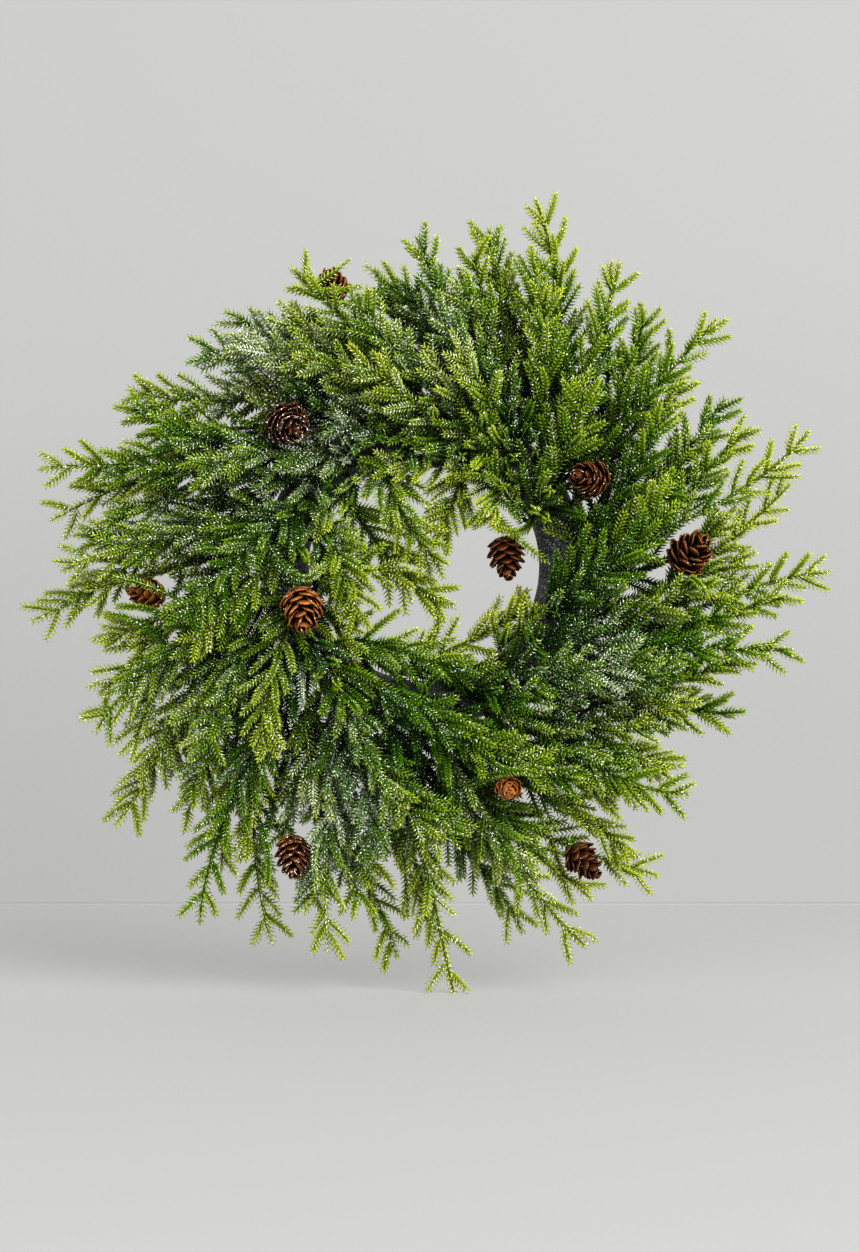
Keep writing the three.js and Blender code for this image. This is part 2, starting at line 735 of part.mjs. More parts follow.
function addPiece(name, geometry, color, roughness) {
  const material = new THREE.MeshStandardMaterial({ color, roughness, metalness: 0 });
  const piece = new THREE.Mesh(geometry, material);
  piece.name = name;
  piece.position.z = -RING_MID_RADIUS;
  group.add(piece);
}

addPiece("ring", ringGeometry(), RING_COLOUR, RING_ROUGHNESS);
for (const spray of sprays) {
  addPiece(spray.name, sprayGeometry(spray), FOLIAGE_COLOUR, FOLIAGE_ROUGHNESS);
}
for (const cone of cones) {
  addPiece(cone.name, coneGeometry(cone), CONE_COLOUR, CONE_ROUGHNESS);
}

export default group;
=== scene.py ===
# %% [markdown]
# # A pine wreath, dressed round its solid model
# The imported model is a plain, faceted wreath at its real size: a ring, forty-nine needled sprays and ten
# cones. It could be painted as it is, but its sprays hold only a part of their branchlets and needles.
# So each of its pieces is grown again here with all its detail, in the same place and from the same rules.

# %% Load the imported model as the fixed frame
import math
import bpy
import numpy as np
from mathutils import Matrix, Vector


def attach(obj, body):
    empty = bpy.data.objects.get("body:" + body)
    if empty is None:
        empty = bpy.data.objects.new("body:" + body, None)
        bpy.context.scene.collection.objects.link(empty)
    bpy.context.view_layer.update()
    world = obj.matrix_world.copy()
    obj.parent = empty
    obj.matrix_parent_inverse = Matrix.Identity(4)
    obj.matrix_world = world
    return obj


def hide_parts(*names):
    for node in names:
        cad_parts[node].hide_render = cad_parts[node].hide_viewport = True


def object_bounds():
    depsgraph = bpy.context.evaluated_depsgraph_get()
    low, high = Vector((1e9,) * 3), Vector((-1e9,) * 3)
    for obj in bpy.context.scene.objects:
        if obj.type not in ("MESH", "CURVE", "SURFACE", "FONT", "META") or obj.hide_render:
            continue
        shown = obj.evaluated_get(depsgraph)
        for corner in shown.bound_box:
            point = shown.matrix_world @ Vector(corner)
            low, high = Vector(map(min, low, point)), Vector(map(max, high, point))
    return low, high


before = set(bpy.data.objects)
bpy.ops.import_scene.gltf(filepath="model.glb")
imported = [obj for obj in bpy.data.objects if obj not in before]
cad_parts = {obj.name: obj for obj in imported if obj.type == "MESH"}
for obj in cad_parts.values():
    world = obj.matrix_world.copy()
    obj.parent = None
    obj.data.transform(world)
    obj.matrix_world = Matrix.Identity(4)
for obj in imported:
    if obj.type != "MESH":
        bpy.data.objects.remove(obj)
cad_box = [[float(value) for value in corner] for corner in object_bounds()]
print("solid model:", len(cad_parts), "nodes, from", cad_box[0], "to", cad_box[1])

# %% [markdown]
# ## Units
# The rules that place the sprays are written in millimetres from the middle of the wreath, as a maker
# would lay it out. Blender works in metres, and the model's own zero point is on the back of the ring at
# the top. One function turns the first into the second, so no other line has to think about it.

# %% From a maker's millimetres to the scene's metres
MILLIMETRE = 0.001
RING_INNER_RADIUS = 89.4
RING_OUTER_RADIUS = 125.4
RING_MID_RADIUS = (RING_INNER_RADIUS + RING_OUTER_RADIUS) / 2
RING_HALF_WIDTH = (RING_OUTER_RADIUS - RING_INNER_RADIUS) / 2


def in_scene(places):
    """Places in millimetres from the ring's centre, as metres in the model's frame"""
    return (np.asarray(places, float) - [0, 0, RING_MID_RADIUS]) * MILLIMETRE


print("the ring's centre is at", in_scene([0, 0, 0]))

# %% [markdown]
# ## The camera
# The photograph looks at the wreath straight from the front through a fairly long lens. The distance and
# the lens were worked out from how the ring, the floor line and the wreath's width lie in the picture. The
# camera is level and unshifted, so the picture's middle is its line of sight.

# %% Camera
PHOTO_HEIGHT = 1252
FOCAL_LENGTH_IN_PIXELS = 2878
SENSOR_HEIGHT = 36.0
CAMERA_PLACE = (4.6, -2240.0, -46.6)

camera_data = bpy.data.cameras.new("camera")
camera_data.sensor_fit = "VERTICAL"
camera_data.sensor_height = SENSOR_HEIGHT
camera_data.lens = FOCAL_LENGTH_IN_PIXELS / PHOTO_HEIGHT * SENSOR_HEIGHT
camera_data.clip_end = 20
camera = bpy.data.objects.new("camera", camera_data)
camera.location = in_scene(CAMERA_PLACE)
camera.rotation_euler = (math.radians(90), 0, 0)
bpy.context.scene.collection.objects.link(camera)
bpy.context.scene.camera = camera
print("lens:", round(camera_data.lens, 1), "mm at", [round(v, 3) for v in camera.location])

# %% [markdown]
# ## Shader notes
# Every finish below is a small graph of nodes. Writing `nodes.new` and `links.new` over and over hides
# what a finish is made of, so this little class keeps the graph and joins as it adds.

# %% A short way to write a node graph


class Finish:
    """A material with its graph: add() makes a node, and join() links a socket into another"""

    def __init__(self, name):
        self.material = bpy.data.materials.new(name)
        self.material.use_nodes = True
        self.tree = self.material.node_tree
        self.shader = self.tree.nodes["Principled BSDF"]

    def add(self, kind, values=(), **settings):
        node = self.tree.nodes.new("ShaderNode" + kind)
        for key, value in settings.items():
            setattr(node, key, value)
        for key, value in dict(values).items():
            node.inputs[key].default_value = value
        return node

    def join(self, source, node, key):
        self.tree.links.new(source, node.inputs[key])

    def value(self, name):
        """A number that the mesh carries at each of its vertices"""
        return self.add("Attribute", attribute_name=name).outputs["Fac"]

    def maths(self, operation, first, second, clamp=False):
        node = self.add("Math", operation=operation, use_clamp=clamp)
        for key, term in enumerate((first, second)):
            if isinstance(term, (int, float)):
                node.inputs[key].default_value = term
            else:
                self.join(term, node, key)
        return node.outputs[0]

    def times(self, first, second, clamp=False):
        return self.maths("MULTIPLY", first, second, clamp)

    def plus(self, first, second):
        return self.maths("ADD", first, second)

    def blend(self, amount, first, second):
        """A colour between two others, each a colour or the output of another node"""
        node = self.add("Mix", data_type="RGBA")
        colour_sockets = [socket for socket in node.inputs if socket.type == "RGBA"]
        self.join(amount, node, 0)
        for socket, colour in zip(colour_sockets, (first, second)):
            if isinstance(colour, tuple):
                socket.default_value = (*colour, 1)
            else:
                self.tree.links.new(colour, socket)
        return next(socket for socket in node.outputs if socket.type == "RGBA")

    def span(self, source, low, high):
        """The source stretched so that low becomes 0 and high becomes 1, and held between them"""
        node = self.add("MapRange", {"From Min": low, "From Max": high})
        self.join(source, node, "Value")
        return node.outputs[0]

    def paint(self, colour, roughness):
        self.join(colour, self.shader, "Base Color")
        self.shader.inputs["Roughness"].default_value = roughness
        return self.material

    def relief(self, height, depth, strength):
        bump = self.add("Bump", {"Distance": depth, "Strength": strength})
        self.join(height, bump, "Height")
        self.join(bump.outputs[0], self.shader, "Normal")

    def place(self):
        """Where each point lies on the object itself, so a pattern stays on it when it moves"""
        return self.add("TexCoord").outputs["Object"]

    def noise(self, scale, detail, roughness=0.5):
        cloud = self.add("TexNoise", {"Scale": scale, "Detail": detail, "Roughness": roughness})
        self.join(self.place(), cloud, "Vector")
        return cloud.outputs[0]

    def specks(self, scale, share, radius):
        """1 in round specks and 0 between them: one in each cell whose own number is under the share"""
        cells = self.add("TexVoronoi", {"Scale": scale})
        self.join(self.place(), cells, "Vector")
        number = self.add("SeparateColor")
        self.join(cells.outputs["Color"], number, 0)
        chosen = self.maths("LESS_THAN", number.outputs[0], share)
        return self.times(chosen, self.maths("LESS_THAN", cells.outputs["Distance"], radius))


# %% [markdown]
# ## Floor and wall
# The wreath is shown against a pale wall, with its lowest tips just touching a pale floor. One bent sheet
# makes both: a photographer's sweep, with a tight curve where the photograph shows its soft line. It isn't
# part of the wreath, so it is staged.

# %% The pale sweep
FLOOR_HEIGHT = -327.0
WALL_DISTANCE = 653.0
SWEEP_CURVE_RADIUS = 3.0
SWEEP_CURVE_STEPS = 6
SWEEP_HALF_WIDTH = 3000.0
SWEEP_FRONT = -3200.0
SWEEP_TOP = 2600.0


def sweep_profile():
    """Depth and height along the sheet, from its front edge over the curve to its top"""
    profile = [(SWEEP_FRONT, FLOOR_HEIGHT)]
    for step in range(SWEEP_CURVE_STEPS + 1):
        turn = math.radians(90 * step / SWEEP_CURVE_STEPS)
        depth = WALL_DISTANCE - SWEEP_CURVE_RADIUS * (1 - math.sin(turn))
        height = FLOOR_HEIGHT + SWEEP_CURVE_RADIUS * (1 - math.cos(turn))
        profile.append((depth, height))
    return profile + [(WALL_DISTANCE, SWEEP_TOP)]


def new_object(name, vertices, faces):
    mesh = bpy.data.meshes.new(name)
    mesh.from_pydata(np.asarray(vertices).tolist(), [], faces)
    mesh.update()
    mesh.shade_smooth()
    thing = bpy.data.objects.new(name, mesh)
    bpy.context.scene.collection.objects.link(thing)
    return thing


profile = sweep_profile()
sheet_points = [(side * SWEEP_HALF_WIDTH, *point) for point in profile for side in (-1, 1)]
sheet_faces = [(2 * i, 2 * i + 1, 2 * i + 3, 2 * i + 2) for i in range(len(profile) - 1)]
sweep = new_object("sweep", in_scene(sheet_points), sheet_faces)
print("sweep:", len(sheet_faces), "strips")

# %% [markdown]
# The sweep's paint is almost one pale grey, a little lighter on the floor than on the wall, with a line of
# painted shade at their joint. A broad, faint noise keeps it from looking like an empty computer picture.
# The sheet glows a little, like the lit sheet of a product table, because the photograph's shadow is much
# weaker than one on plain paper would be. Its back is left clear, so a camera that goes round the wreath
# isn't blinded by the wall.

# %% The sweep's paint
WALL_LIGHT = (0.176, 0.176, 0.172)
WALL_SHADE = (0.164, 0.164, 0.160)
FLOOR_LIGHT = (0.215, 0.215, 0.208)
FLOOR_SHADE = (0.205, 0.205, 0.198)
JOINT_SHADE = (0.10, 0.10, 0.098)
WALL_STARTS = (0.0005, 0.002)
JOINT_ENDS = (0.001, 0.004)
PAPER_CLOUD_SCALE = 1.3
PAPER_CLOUD_DETAIL = 3.0
PAPER_ROUGHNESS = 0.9
PAPER_GLOW = 0.238
PAPER_GLOW_COLOUR = (1.0, 1.0, 0.985, 1.0)


def sweep_finish():
    paper = Finish("pale_paper")
    cloud = paper.noise(PAPER_CLOUD_SCALE, PAPER_CLOUD_DETAIL)
    height = paper.add("SeparateXYZ")
    paper.join(paper.place(), height, 0)
    floor_height = float(in_scene([0, 0, FLOOR_HEIGHT])[2])
    on_wall, above_joint = (
        paper.span(height.outputs["Z"], floor_height + low, floor_height + high)
        for low, high in (WALL_STARTS, JOINT_ENDS)
    )
    wall = paper.blend(cloud, WALL_SHADE, WALL_LIGHT)
    floor = paper.blend(cloud, FLOOR_SHADE, FLOOR_LIGHT)
    # painted shade: a thin darker line in the corner where the floor meets the wall
    wall = paper.blend(above_joint, JOINT_SHADE, wall)
    paper.paint(paper.blend(on_wall, floor, wall), PAPER_ROUGHNESS)
    paper.shader.inputs["Emission Color"].default_value = PAPER_GLOW_COLOUR
    paper.shader.inputs["Emission Strength"].default_value = PAPER_GLOW
    front_or_back = paper.add("MixShader")
    paper.join(paper.add("NewGeometry").outputs["Backfacing"], front_or_back, 0)
    paper.join(paper.shader.outputs[0], front_or_back, 1)
    paper.join(paper.add("BsdfTransparent").outputs[0], front_or_back, 2)
    paper.join(front_or_back.outputs[0], paper.tree.nodes["Material Output"], "Surface")
    return paper.material


sweep.data.materials.append(sweep_finish())
print("sweep finish: pale_paper")

# %% [markdown]
# ## Light
# The photograph has plain studio light: one big soft source high on the right and in front, a weaker one on
# the left, and pale surroundings that fill the shadows. Area lights do that. The larger they are, the
# softer the shadow, and the floor's faint shadow says that they are large. The picture is also crisp, with
# deep greens beside white frost, so Blender's High Contrast look is laid over the plain view.

# %% Studio light
WORLD_COLOUR = (1.0, 1.0, 1.0, 1.0)
WORLD_STRENGTH = 0.36
VIEW_TRANSFORM = "Standard"
VIEW_LOOK = "High Contrast"


def softbox(name, place, size, power):
    """A square area light that looks at the ring's centre"""
    light = bpy.data.lights.new(name, "AREA")
    light.shape = "SQUARE"
    light.size = size
    light.energy = power
    lamp = bpy.data.objects.new(name, light)
    lamp.location = in_scene(place)
    towards = Vector(in_scene([0, 0, 0])) - lamp.location
    lamp.rotation_euler = towards.to_track_quat("-Z", "Y").to_euler()
    bpy.context.scene.collection.objects.link(lamp)
    return lamp


key = softbox("key_light", place=(2200, -3100, 1700), size=3.4, power=196)
fill = softbox("fill_light", place=(-2200, -3400, 600), size=3.0, power=76)
world = bpy.data.worlds.new("studio")
world.use_nodes = True
world.node_tree.nodes["Background"].inputs["Color"].default_value = WORLD_COLOUR
world.node_tree.nodes["Background"].inputs["Strength"].default_value = WORLD_STRENGTH
bpy.context.scene.world = world
bpy.context.scene.view_settings.view_transform = VIEW_TRANSFORM
bpy.context.scene.view_settings.look = VIEW_LOOK
print("lights:", key.name, fill.name)

# %% [markdown]
# ## Chance that repeats
# No two sprays of a wreath are alike, yet a script has to give the same wreath each time. The solid model
# draws its numbers from a small seeded generator. The same one is written here, so that the same seeds give
# the same stems and branchlets, and the fine foliage grows exactly round the plain one.

# %% Seeded draws
DRAW_RANGE = 2**32
SEED_STEP = 0x6D2B79F5


def draws_from(seed):
    """A function that gives the next number between 0 and 1"""
    state = seed % DRAW_RANGE

    def draw():
        nonlocal state
        state = (state + SEED_STEP) % DRAW_RANGE
        mixed = ((state ^ (state >> 15)) * (state | 1)) % DRAW_RANGE
        mixed ^= (mixed + (mixed ^ (mixed >> 7)) * (mixed | 61)) % DRAW_RANGE
        return (mixed ^ (mixed >> 14)) / DRAW_RANGE

    return draw


def spread(draw, amount):
    return (draw() * 2 - 1) * amount


first_draw = draws_from(1)
print("two draws:", round(first_draw(), 4), round(first_draw(), 4))

# %% [markdown]
# ## Ways and axes
# A spray, a branchlet and a twig are all the same thing to a maker: a wire with a bend in it. A Bezier
# curve is such a wire. Blender has curve objects too, but here thousands of needles have to know where
# they stand on it, so the curve is kept as a few lines of arithmetic.

# %% Curves
TOWARDS_VIEWER = np.array([0.0, -1.0, 0.0])
TANGENT_STEP = 1e-4


def unit(vector):
    return vector / np.linalg.norm(vector, axis=-1, keepdims=True)


def off_axis(vector, axis):
    """What is left of a vector square to an axis, as a way of length one"""
    return unit(vector - axis * (vector * axis).sum(-1, keepdims=True))


class Axis:
    """A Bezier curve that knows its length, its places and its ways"""

    def __init__(self, length, *handles):
        self.length = length
        self.handles = np.array(handles)

    def at(self, share):
        """The place at a share of the way, or one place for each share of a list"""
        share = np.asarray(share, float)[..., None]
        points = list(self.handles)
        while len(points) > 1:
            points = [here + (there - here) * share for here, there in zip(points, points[1:])]
        return points[0]

    def along(self, share):
        ahead = self.at(np.minimum(1.0, share + TANGENT_STEP))
        return unit(ahead - self.at(np.maximum(0.0, share - TANGENT_STEP)))

    def points(self, spacing):
        steps = max(2, math.ceil(self.length / spacing))
        return self.at(np.arange(steps + 1) / steps)


def bent_axis(start, start_way, end, end_way, start_reach, end_reach):
    span = np.linalg.norm(end - start)
    return Axis(span, start, start + start_way * span * start_reach, end - end_way * span * end_reach, end)


def heading(angle):
    return np.array([math.cos(math.radians(angle)), 0.0, math.sin(math.radians(angle))])


def on_wreath(angle, reach, depth):
    return heading(angle) * reach + TOWARDS_VIEWER * depth


def turned_way(side, front, degrees):
    return side * math.cos(math.radians(degrees)) + front * math.sin(math.radians(degrees))


print("one o'clock on the ring:", on_wreath(60, RING_MID_RADIUS, 0).round(1))

# %% [markdown]
# ## Where the wires leave the ring
# The real ring is a round-fronted hoop with a flat back. The solid model's hoop has flat facets, and each
# spray leaves the middle of one, square on. The same facets are worked out here, although this script
# gives the hoop a smooth skin, so that every wire starts where the solid one does.

# %% The ring's facets
RING_DEPTH = 28.0
RING_SIDE_DEPTH = 4.0
RING_DOME_DEPTH = RING_DEPTH - RING_SIDE_DEPTH
RING_SEGMENTS = 40
RING_DOME_STEPS = 8


def ring_section(section):
    """Radius and depth of the domed front, where 0 is outward and 180 is into the hole"""
    turn = math.radians(section)
    radius = RING_MID_RADIUS + RING_HALF_WIDTH * math.cos(turn)
    return radius, RING_SIDE_DEPTH + RING_DOME_DEPTH * math.sin(turn)


def ring_facet(angle, section):
    turn_step = 360 / RING_SEGMENTS
    section_step = 180 / RING_DOME_STEPS
    turn = (math.floor(angle / turn_step) + 0.5) * turn_step
    first = math.floor(section / section_step) * section_step
    outer_radius, outer_depth = ring_section(first)
    inner_radius, inner_depth = ring_section(first + section_step)
    chord = math.cos(math.radians(turn_step / 2))
    place = on_wreath(turn, (outer_radius + inner_radius) / 2 * chord, (outer_depth + inner_depth) / 2)
    outward = heading(turn) * (inner_depth - outer_depth)
    forward = TOWARDS_VIEWER * (outer_radius - inner_radius) * chord
    return place, unit(outward + forward)


def touches_ring(points, room):
    across = (np.hypot(points[:, 0], points[:, 2]) - RING_MID_RADIUS) / (RING_HALF_WIDTH + room)
    out = np.maximum(0, -points[:, 1] - RING_SIDE_DEPTH) / (RING_DOME_DEPTH + room)
    return across**2 + out**2 < 1


print("a facet at the top, facing the viewer:", ring_facet(90, 90)[0].round(1))

# %% [markdown]
# ## Keeping wires apart
# On a real wreath the wires push each other aside. A cheap way to do that in code is to thread beads on
# every wire that is already placed, and to ask whether a new wire passes too near to any of them.

# %% Beads
MOST_BEADS = 60_000


class Beads:
    """Places that are taken, with the radius and the owner of each"""

    def __init__(self):
        self.count = 0
        self.all_places = np.empty((MOST_BEADS, 3))
        self.all_radii = np.empty(MOST_BEADS)
        self.all_owners = np.empty(MOST_BEADS, int)
        self.all_on_twig = np.empty(MOST_BEADS, bool)
        self.known_owners = []

    def number(self, owner):
        """Each owner's name has a number, because numbers are quick to compare"""
        if owner not in self.known_owners:
            self.known_owners.append(owner)
        return self.known_owners.index(owner)

    def thread(self, places, owner, radius=0.0, on_twig=False):
        new = slice(self.count, self.count + len(places))
        self.all_places[new] = places
        self.all_radii[new] = radius
        self.all_owners[new] = self.number(owner)
        self.all_on_twig[new] = on_twig
        self.count += len(places)

    def near(self, points, room):
        """Places, radii, owners and twig marks of the beads in a box round some points"""
        most = room + self.all_radii[: self.count].max()
        places = self.all_places[: self.count]
        inside = ((places > points.min(0) - most) & (places < points.max(0) + most)).all(1)
        chosen = np.flatnonzero(inside)
        return places[chosen], self.all_radii[chosen], self.all_owners[chosen], self.all_on_twig[chosen]

    def leave_room(self, points, room, matters=None):
        """True if every point keeps its room to the beads that matter"""
        if not len(points) or not self.count:
            return True
        places, radii, owners, on_twig = self.near(points, room)
        if matters is not None:
            chosen = matters(owners, on_twig)
            places, radii = places[chosen], radii[chosen]
        gaps = ((points[:, None] - places[None]) ** 2).sum(2)
        return bool((gaps >= (room + radii) ** 2).all())


beads = Beads()
print("beads threaded:", beads.count)

# %% [markdown]
# ## The lists to work from
# A maker would mark the tips of the sprays and the cones on a drawing first. These are those marks, read
# off the photograph. Everything between a root and its tip follows by rule.

# %% Marks for the outer sprays: tip angle, reach from the centre, sweep of the tip, depth
OUTER_SPRAYS = [
    (73, 294, 38, 24),
    (57, 272, 21, 60),
    (49, 260, 28, 20),
    (40, 289, 8, 62),
    (29, 265, 25, 20),
    (19, 310, 34, 56),
    (-1, 312, 5, 24),
    (-13, 286, 14, 60),
    (-26, 265, 10, 18),
    (-41, 265, 43, 62),
    (-53, 299, 37, 24),
    (-67, 315, 27, 54),
    (-75, 293, 6, 17),
    (-86, 328, 8, 44),
    (-94, 302, 23, 18),
    (256, 301, 19, 58),
    (248, 313, 38, 22),
    (238, 321, 29, 52),
    (220, 310, 10, 24),
    (207, 278, 33, 64),
    (188, 305, 12, 20),
    (181, 274, 26, 56),
    (173, 290, 37, 18),
    (166, 301, 21, 50),
    (149, 264, 11, 24),
    (136, 233, 42, 66),
    (127, 240, 17, 20),
    (114, 243, 21, 58),
    (101, 236, 38, 22),
    (91, 246, 24, 64),
    (79, 264, 10, 18),
]
OUTER_LAG = 27
OUTER_BACK_SECTION = 24
OUTER_FRONT_SECTION = 100
DEEP_TIP = 40
print("outer sprays:", len(OUTER_SPRAYS))

# %% Marks for the front sprays, which stand evenly round the ring and cover it
FRONT_COUNT = 10
FRONT_REACH = 182
FRONT_LAG = 36
FRONT_SWEEP = 52
FRONT_DEPTH = 92
FRONT_START = 14
FRONT_SECTION = 90
FRONT_TIP_LIFT = 0.35
print("front sprays:", FRONT_COUNT)

# %% Marks for the inner sprays: root angle, tip right of the centre, above it, heading, depth
INNER_SPRAYS = [
    (138, 16, -31, 335, 40),
    (112, 12, 2, 320, 62),
    (160, -50, -40, 285, 64),
    (72, 8, 20, 238, 40),
    (44, 38, 28, 205, 60),
    (216, 58, -90, 345, 46),
    (262, 80, -24, 62, 24),
    (180, -18, -4, 5, 66),
]
INNER_BACK_SECTION = 150
INNER_FRONT_SECTION = 118
print("inner sprays:", len(INNER_SPRAYS))

# %% Marks for the cones: right of the centre, above it, in front, width, length, apex right, forward, up
CONES = [
    (-100, 103, 88, 38, 42, 0.35, 0.88, -0.3),
    (123, 64, 85, 32, 36, -0.6, 0.78, 0.1),
    (63, 5, 45, 30, 35, 0.1, 0.35, -0.93),
    (203, 10, 62, 36, 40, 0.4, 0.75, 0.5),
    (-91, -35, 82, 34, 42, 0.1, 0.7, -0.7),
    (64, -168, 82, 26, 33, 0.1, 0.95, -0.2),
    (122, -226, 56, 30, 34, 0.6, 0.5, -0.6),
    (-99, -222, 58, 29, 36, 0.05, 0.5, -0.86),
    (-70, 213, 52, 28, 33, -0.2, 0.8, 0.55),
    (-212, -22, 44, 26, 33, -0.8, 0.55, 0.1),
]
print("cones:", len(CONES))

# %% [markdown]
# ## Planning
# Each mark becomes a plan: where the spray starts on the ring, where its tip ends and which way that tip
# points. All the sprays sweep the same way round, so a root lies some degrees behind its tip.

# %% Plans for the sprays and the cones
SPRAY_SEEDS = 1000
CONE_BEADS = (-0.3, -0.1, 0.1, 0.3)
CONE_BEAD_INSET = 1


def label(kind, index):
    return f"{kind}_{index + 1:02d}"


def planned_sprays():
    plans = []
    for i, (angle, reach, sweep, depth) in enumerate(OUTER_SPRAYS):
        section = OUTER_FRONT_SECTION if depth > DEEP_TIP else OUTER_BACK_SECTION
        tip, way = on_wreath(angle, reach, depth), heading(angle + sweep)
        plans.append((label("spray_outer", i), angle - OUTER_LAG, section, tip, way))
    for i in range(FRONT_COUNT):
        angle = FRONT_START + 360 / FRONT_COUNT * i
        way = unit(heading(angle + FRONT_SWEEP) + TOWARDS_VIEWER * FRONT_TIP_LIFT)
        tip = on_wreath(angle, FRONT_REACH, FRONT_DEPTH)
        plans.append((label("spray_front", i), angle - FRONT_LAG, FRONT_SECTION, tip, way))
    for i, (root_angle, right, up, way, depth) in enumerate(INNER_SPRAYS):
        section = INNER_FRONT_SECTION if depth > DEEP_TIP else INNER_BACK_SECTION
        tip = np.array([right, -depth, up], float)
        plans.append((label("spray_inner", i), root_angle, section, tip, heading(way)))
    return plans


class Spray:
    """A spray's name, its seed, and the root and tip that are planned for it, if any"""

    def __init__(self, name, seed, *plan):
        self.name, self.seed, self.plan = name, seed, plan
        self.sprouts = {}
        self.twig = self.twig_station = None


class Cone:
    def __init__(self, index, mark):
        right, up, front, self.width, self.length, *apex = mark
        self.name = label("cone", index)
        self.centre = np.array([right, -front, up], float)
        self.way = unit(np.array([apex[0], -apex[1], apex[2]]))


sprays = [Spray(name, SPRAY_SEEDS * (i + 1), *plan) for i, (name, *plan) in enumerate(planned_sprays())]
cones = [Cone(i, mark) for i, mark in enumerate(CONES)]
for cone in cones:
    bead_places = np.array([cone.centre + cone.way * cone.length * share for share in CONE_BEADS])
    beads.thread(bead_places, cone.name, radius=cone.width / 2 - CONE_BEAD_INSET)
print("planned:", len(sprays), "sprays and", len(cones), "cones")

# %% [markdown]
# ## Growing the stems
# A stem springs from its facet, then bends over to its tip. Where it would touch the ring or a neighbour,
# it is drawn again with a looser hand, a few times at most, as a maker nudges a wire until it lies free.

# %% Stems
ROOT_GAP = 0.3
STEM_ROOT_REACH = 0.3
STEM_TIP_REACH = 0.38
STEM_STATION_SPACING = 19.4
STEM_FEWEST_STATIONS = 4
STEADY_SHARE = 0.15
BEAD_SPACING = 4.5
STEM_ROOM = 6
STEM_RING_ROOM = 4
STEM_BACK_ROOM = 13
OWN_ROOT_ZONE = 12
TRIES = 16
ROOT_ANGLE_VARIES = 5
SECTION_VARIES = 8
SECTION_EDGE = 5
DEPTH_VARIES = 8
STEM_FIRST_LOOSENESS = 0.35
STEM_LOOSER_EACH_TRY = 0.25


def stem_of(spray, attempt):
    draw = draws_from(spray.seed + attempt)
    angle, section, tip, tip_way = spray.plan
    loosen = STEM_FIRST_LOOSENESS + attempt * STEM_LOOSER_EACH_TRY
    angle = angle + spread(draw, ROOT_ANGLE_VARIES) * loosen
    section = section + spread(draw, SECTION_VARIES) * loosen
    place, facing = ring_facet(angle, min(max(section, SECTION_EDGE), 180 - SECTION_EDGE))
    end = tip.copy()
    end[1] = min(end[1] - spread(draw, DEPTH_VARIES) * loosen, -STEM_BACK_ROOM)
    return bent_axis(place + facing * ROOT_GAP, facing, end, tip_way, STEM_ROOT_REACH, STEM_TIP_REACH)


def away_from(points, place, distance):
    return points[np.linalg.norm(points - place, axis=1) > distance]


def grow_stem(spray):
    for attempt in range(TRIES):
        spray.stem = stem_of(spray, attempt)
        points = spray.stem.points(BEAD_SPACING)
        if touches_ring(away_from(points, points[0], OWN_ROOT_ZONE), STEM_RING_ROOM).any():
            continue
        if beads.leave_room(points, STEM_ROOM):
            break
    beads.thread(spray.stem.points(BEAD_SPACING), spray.name)
    spray.stations = max(STEM_FEWEST_STATIONS, math.floor(spray.stem.length / STEM_STATION_SPACING + 0.5))


def stem_sides(stem, share):
    """The stem's way, its sideways and its frontwards at a share of its length"""
    along = stem.along(share)
    side = off_axis(np.cross(TOWARDS_VIEWER, stem.along(max(share, STEADY_SHARE))), along)
    return along, side, np.cross(along, side)


for spray in sprays:
    grow_stem(spray)
print("stems:", round(sum(spray.stem.length for spray in sprays) / 1000, 2), "m of wire")

# %% [markdown]
# ## Seating the cones
# On the real wreath each cone is glued or wired to the end of a short twig. A twig leaves the nearest side
# of a stem that looks towards the cone's foot, and bends in to meet it along the cone's own line.

# %% Twigs
FACE_TURNS = (30, 150, 270)
TWIG_GAP = 0.3
TWIG_RADIUS = 1.1
TWIG_REACH = 0.4
TWIG_SHORTEST = 9
TWIG_LEAST_FACING = 0.45
TWIG_ROOM = 4
TWIG_ROOT_ZONE = 8
OWN_ROOM = 5


def twig_seats(base):
    seats = []
    for spray in sprays:
        for station in range(1, spray.stations):
            share = station / spray.stations
            start = spray.stem.at(share)
            far = np.linalg.norm(base - start)
            straight = unit(base - start)
            _, side, front = stem_sides(spray.stem, share)
            for degrees in FACE_TURNS:
                outward = turned_way(side, front, degrees)
                if far >= TWIG_SHORTEST and outward @ straight > TWIG_LEAST_FACING and spray.twig is None:
                    seats.append((far, spray, station, start, unit(outward + straight)))
    return sorted(seats, key=lambda seat: seat[0])


def twig_fits(twig, spray, start, cone, base):
    points = twig.points(BEAD_SPACING)
    if ((points[:-1] - base) @ cone.way > -TWIG_GAP).any():
        return False
    if touches_ring(points[2:], TWIG_RADIUS).any():
        return False
    own, carried = beads.number(spray.name), beads.number(cone.name)
    if not beads.leave_room(points, TWIG_ROOM, lambda owners, _: (owners != own) & (owners != carried)):
        return False
    free = away_from(points, start, TWIG_ROOT_ZONE)
    return beads.leave_room(free, OWN_ROOM, lambda owners, _: owners == own)


def seat_cone(cone):
    base = cone.centre - cone.way * (cone.length / 2 + TWIG_GAP)
    for _, spray, station, start, way in twig_seats(base):
        twig = bent_axis(start, way, base, cone.way, TWIG_REACH, TWIG_REACH)
        if twig_fits(twig, spray, start, cone, base):
            spray.twig, spray.twig_station = twig, station
            beads.thread(twig.points(BEAD_SPACING), spray.name, on_twig=True)
            return spray.name
    raise ValueError(f"{cone.name} has no twig")


for cone in cones:
    print(cone.name, "sits on", seat_cone(cone))

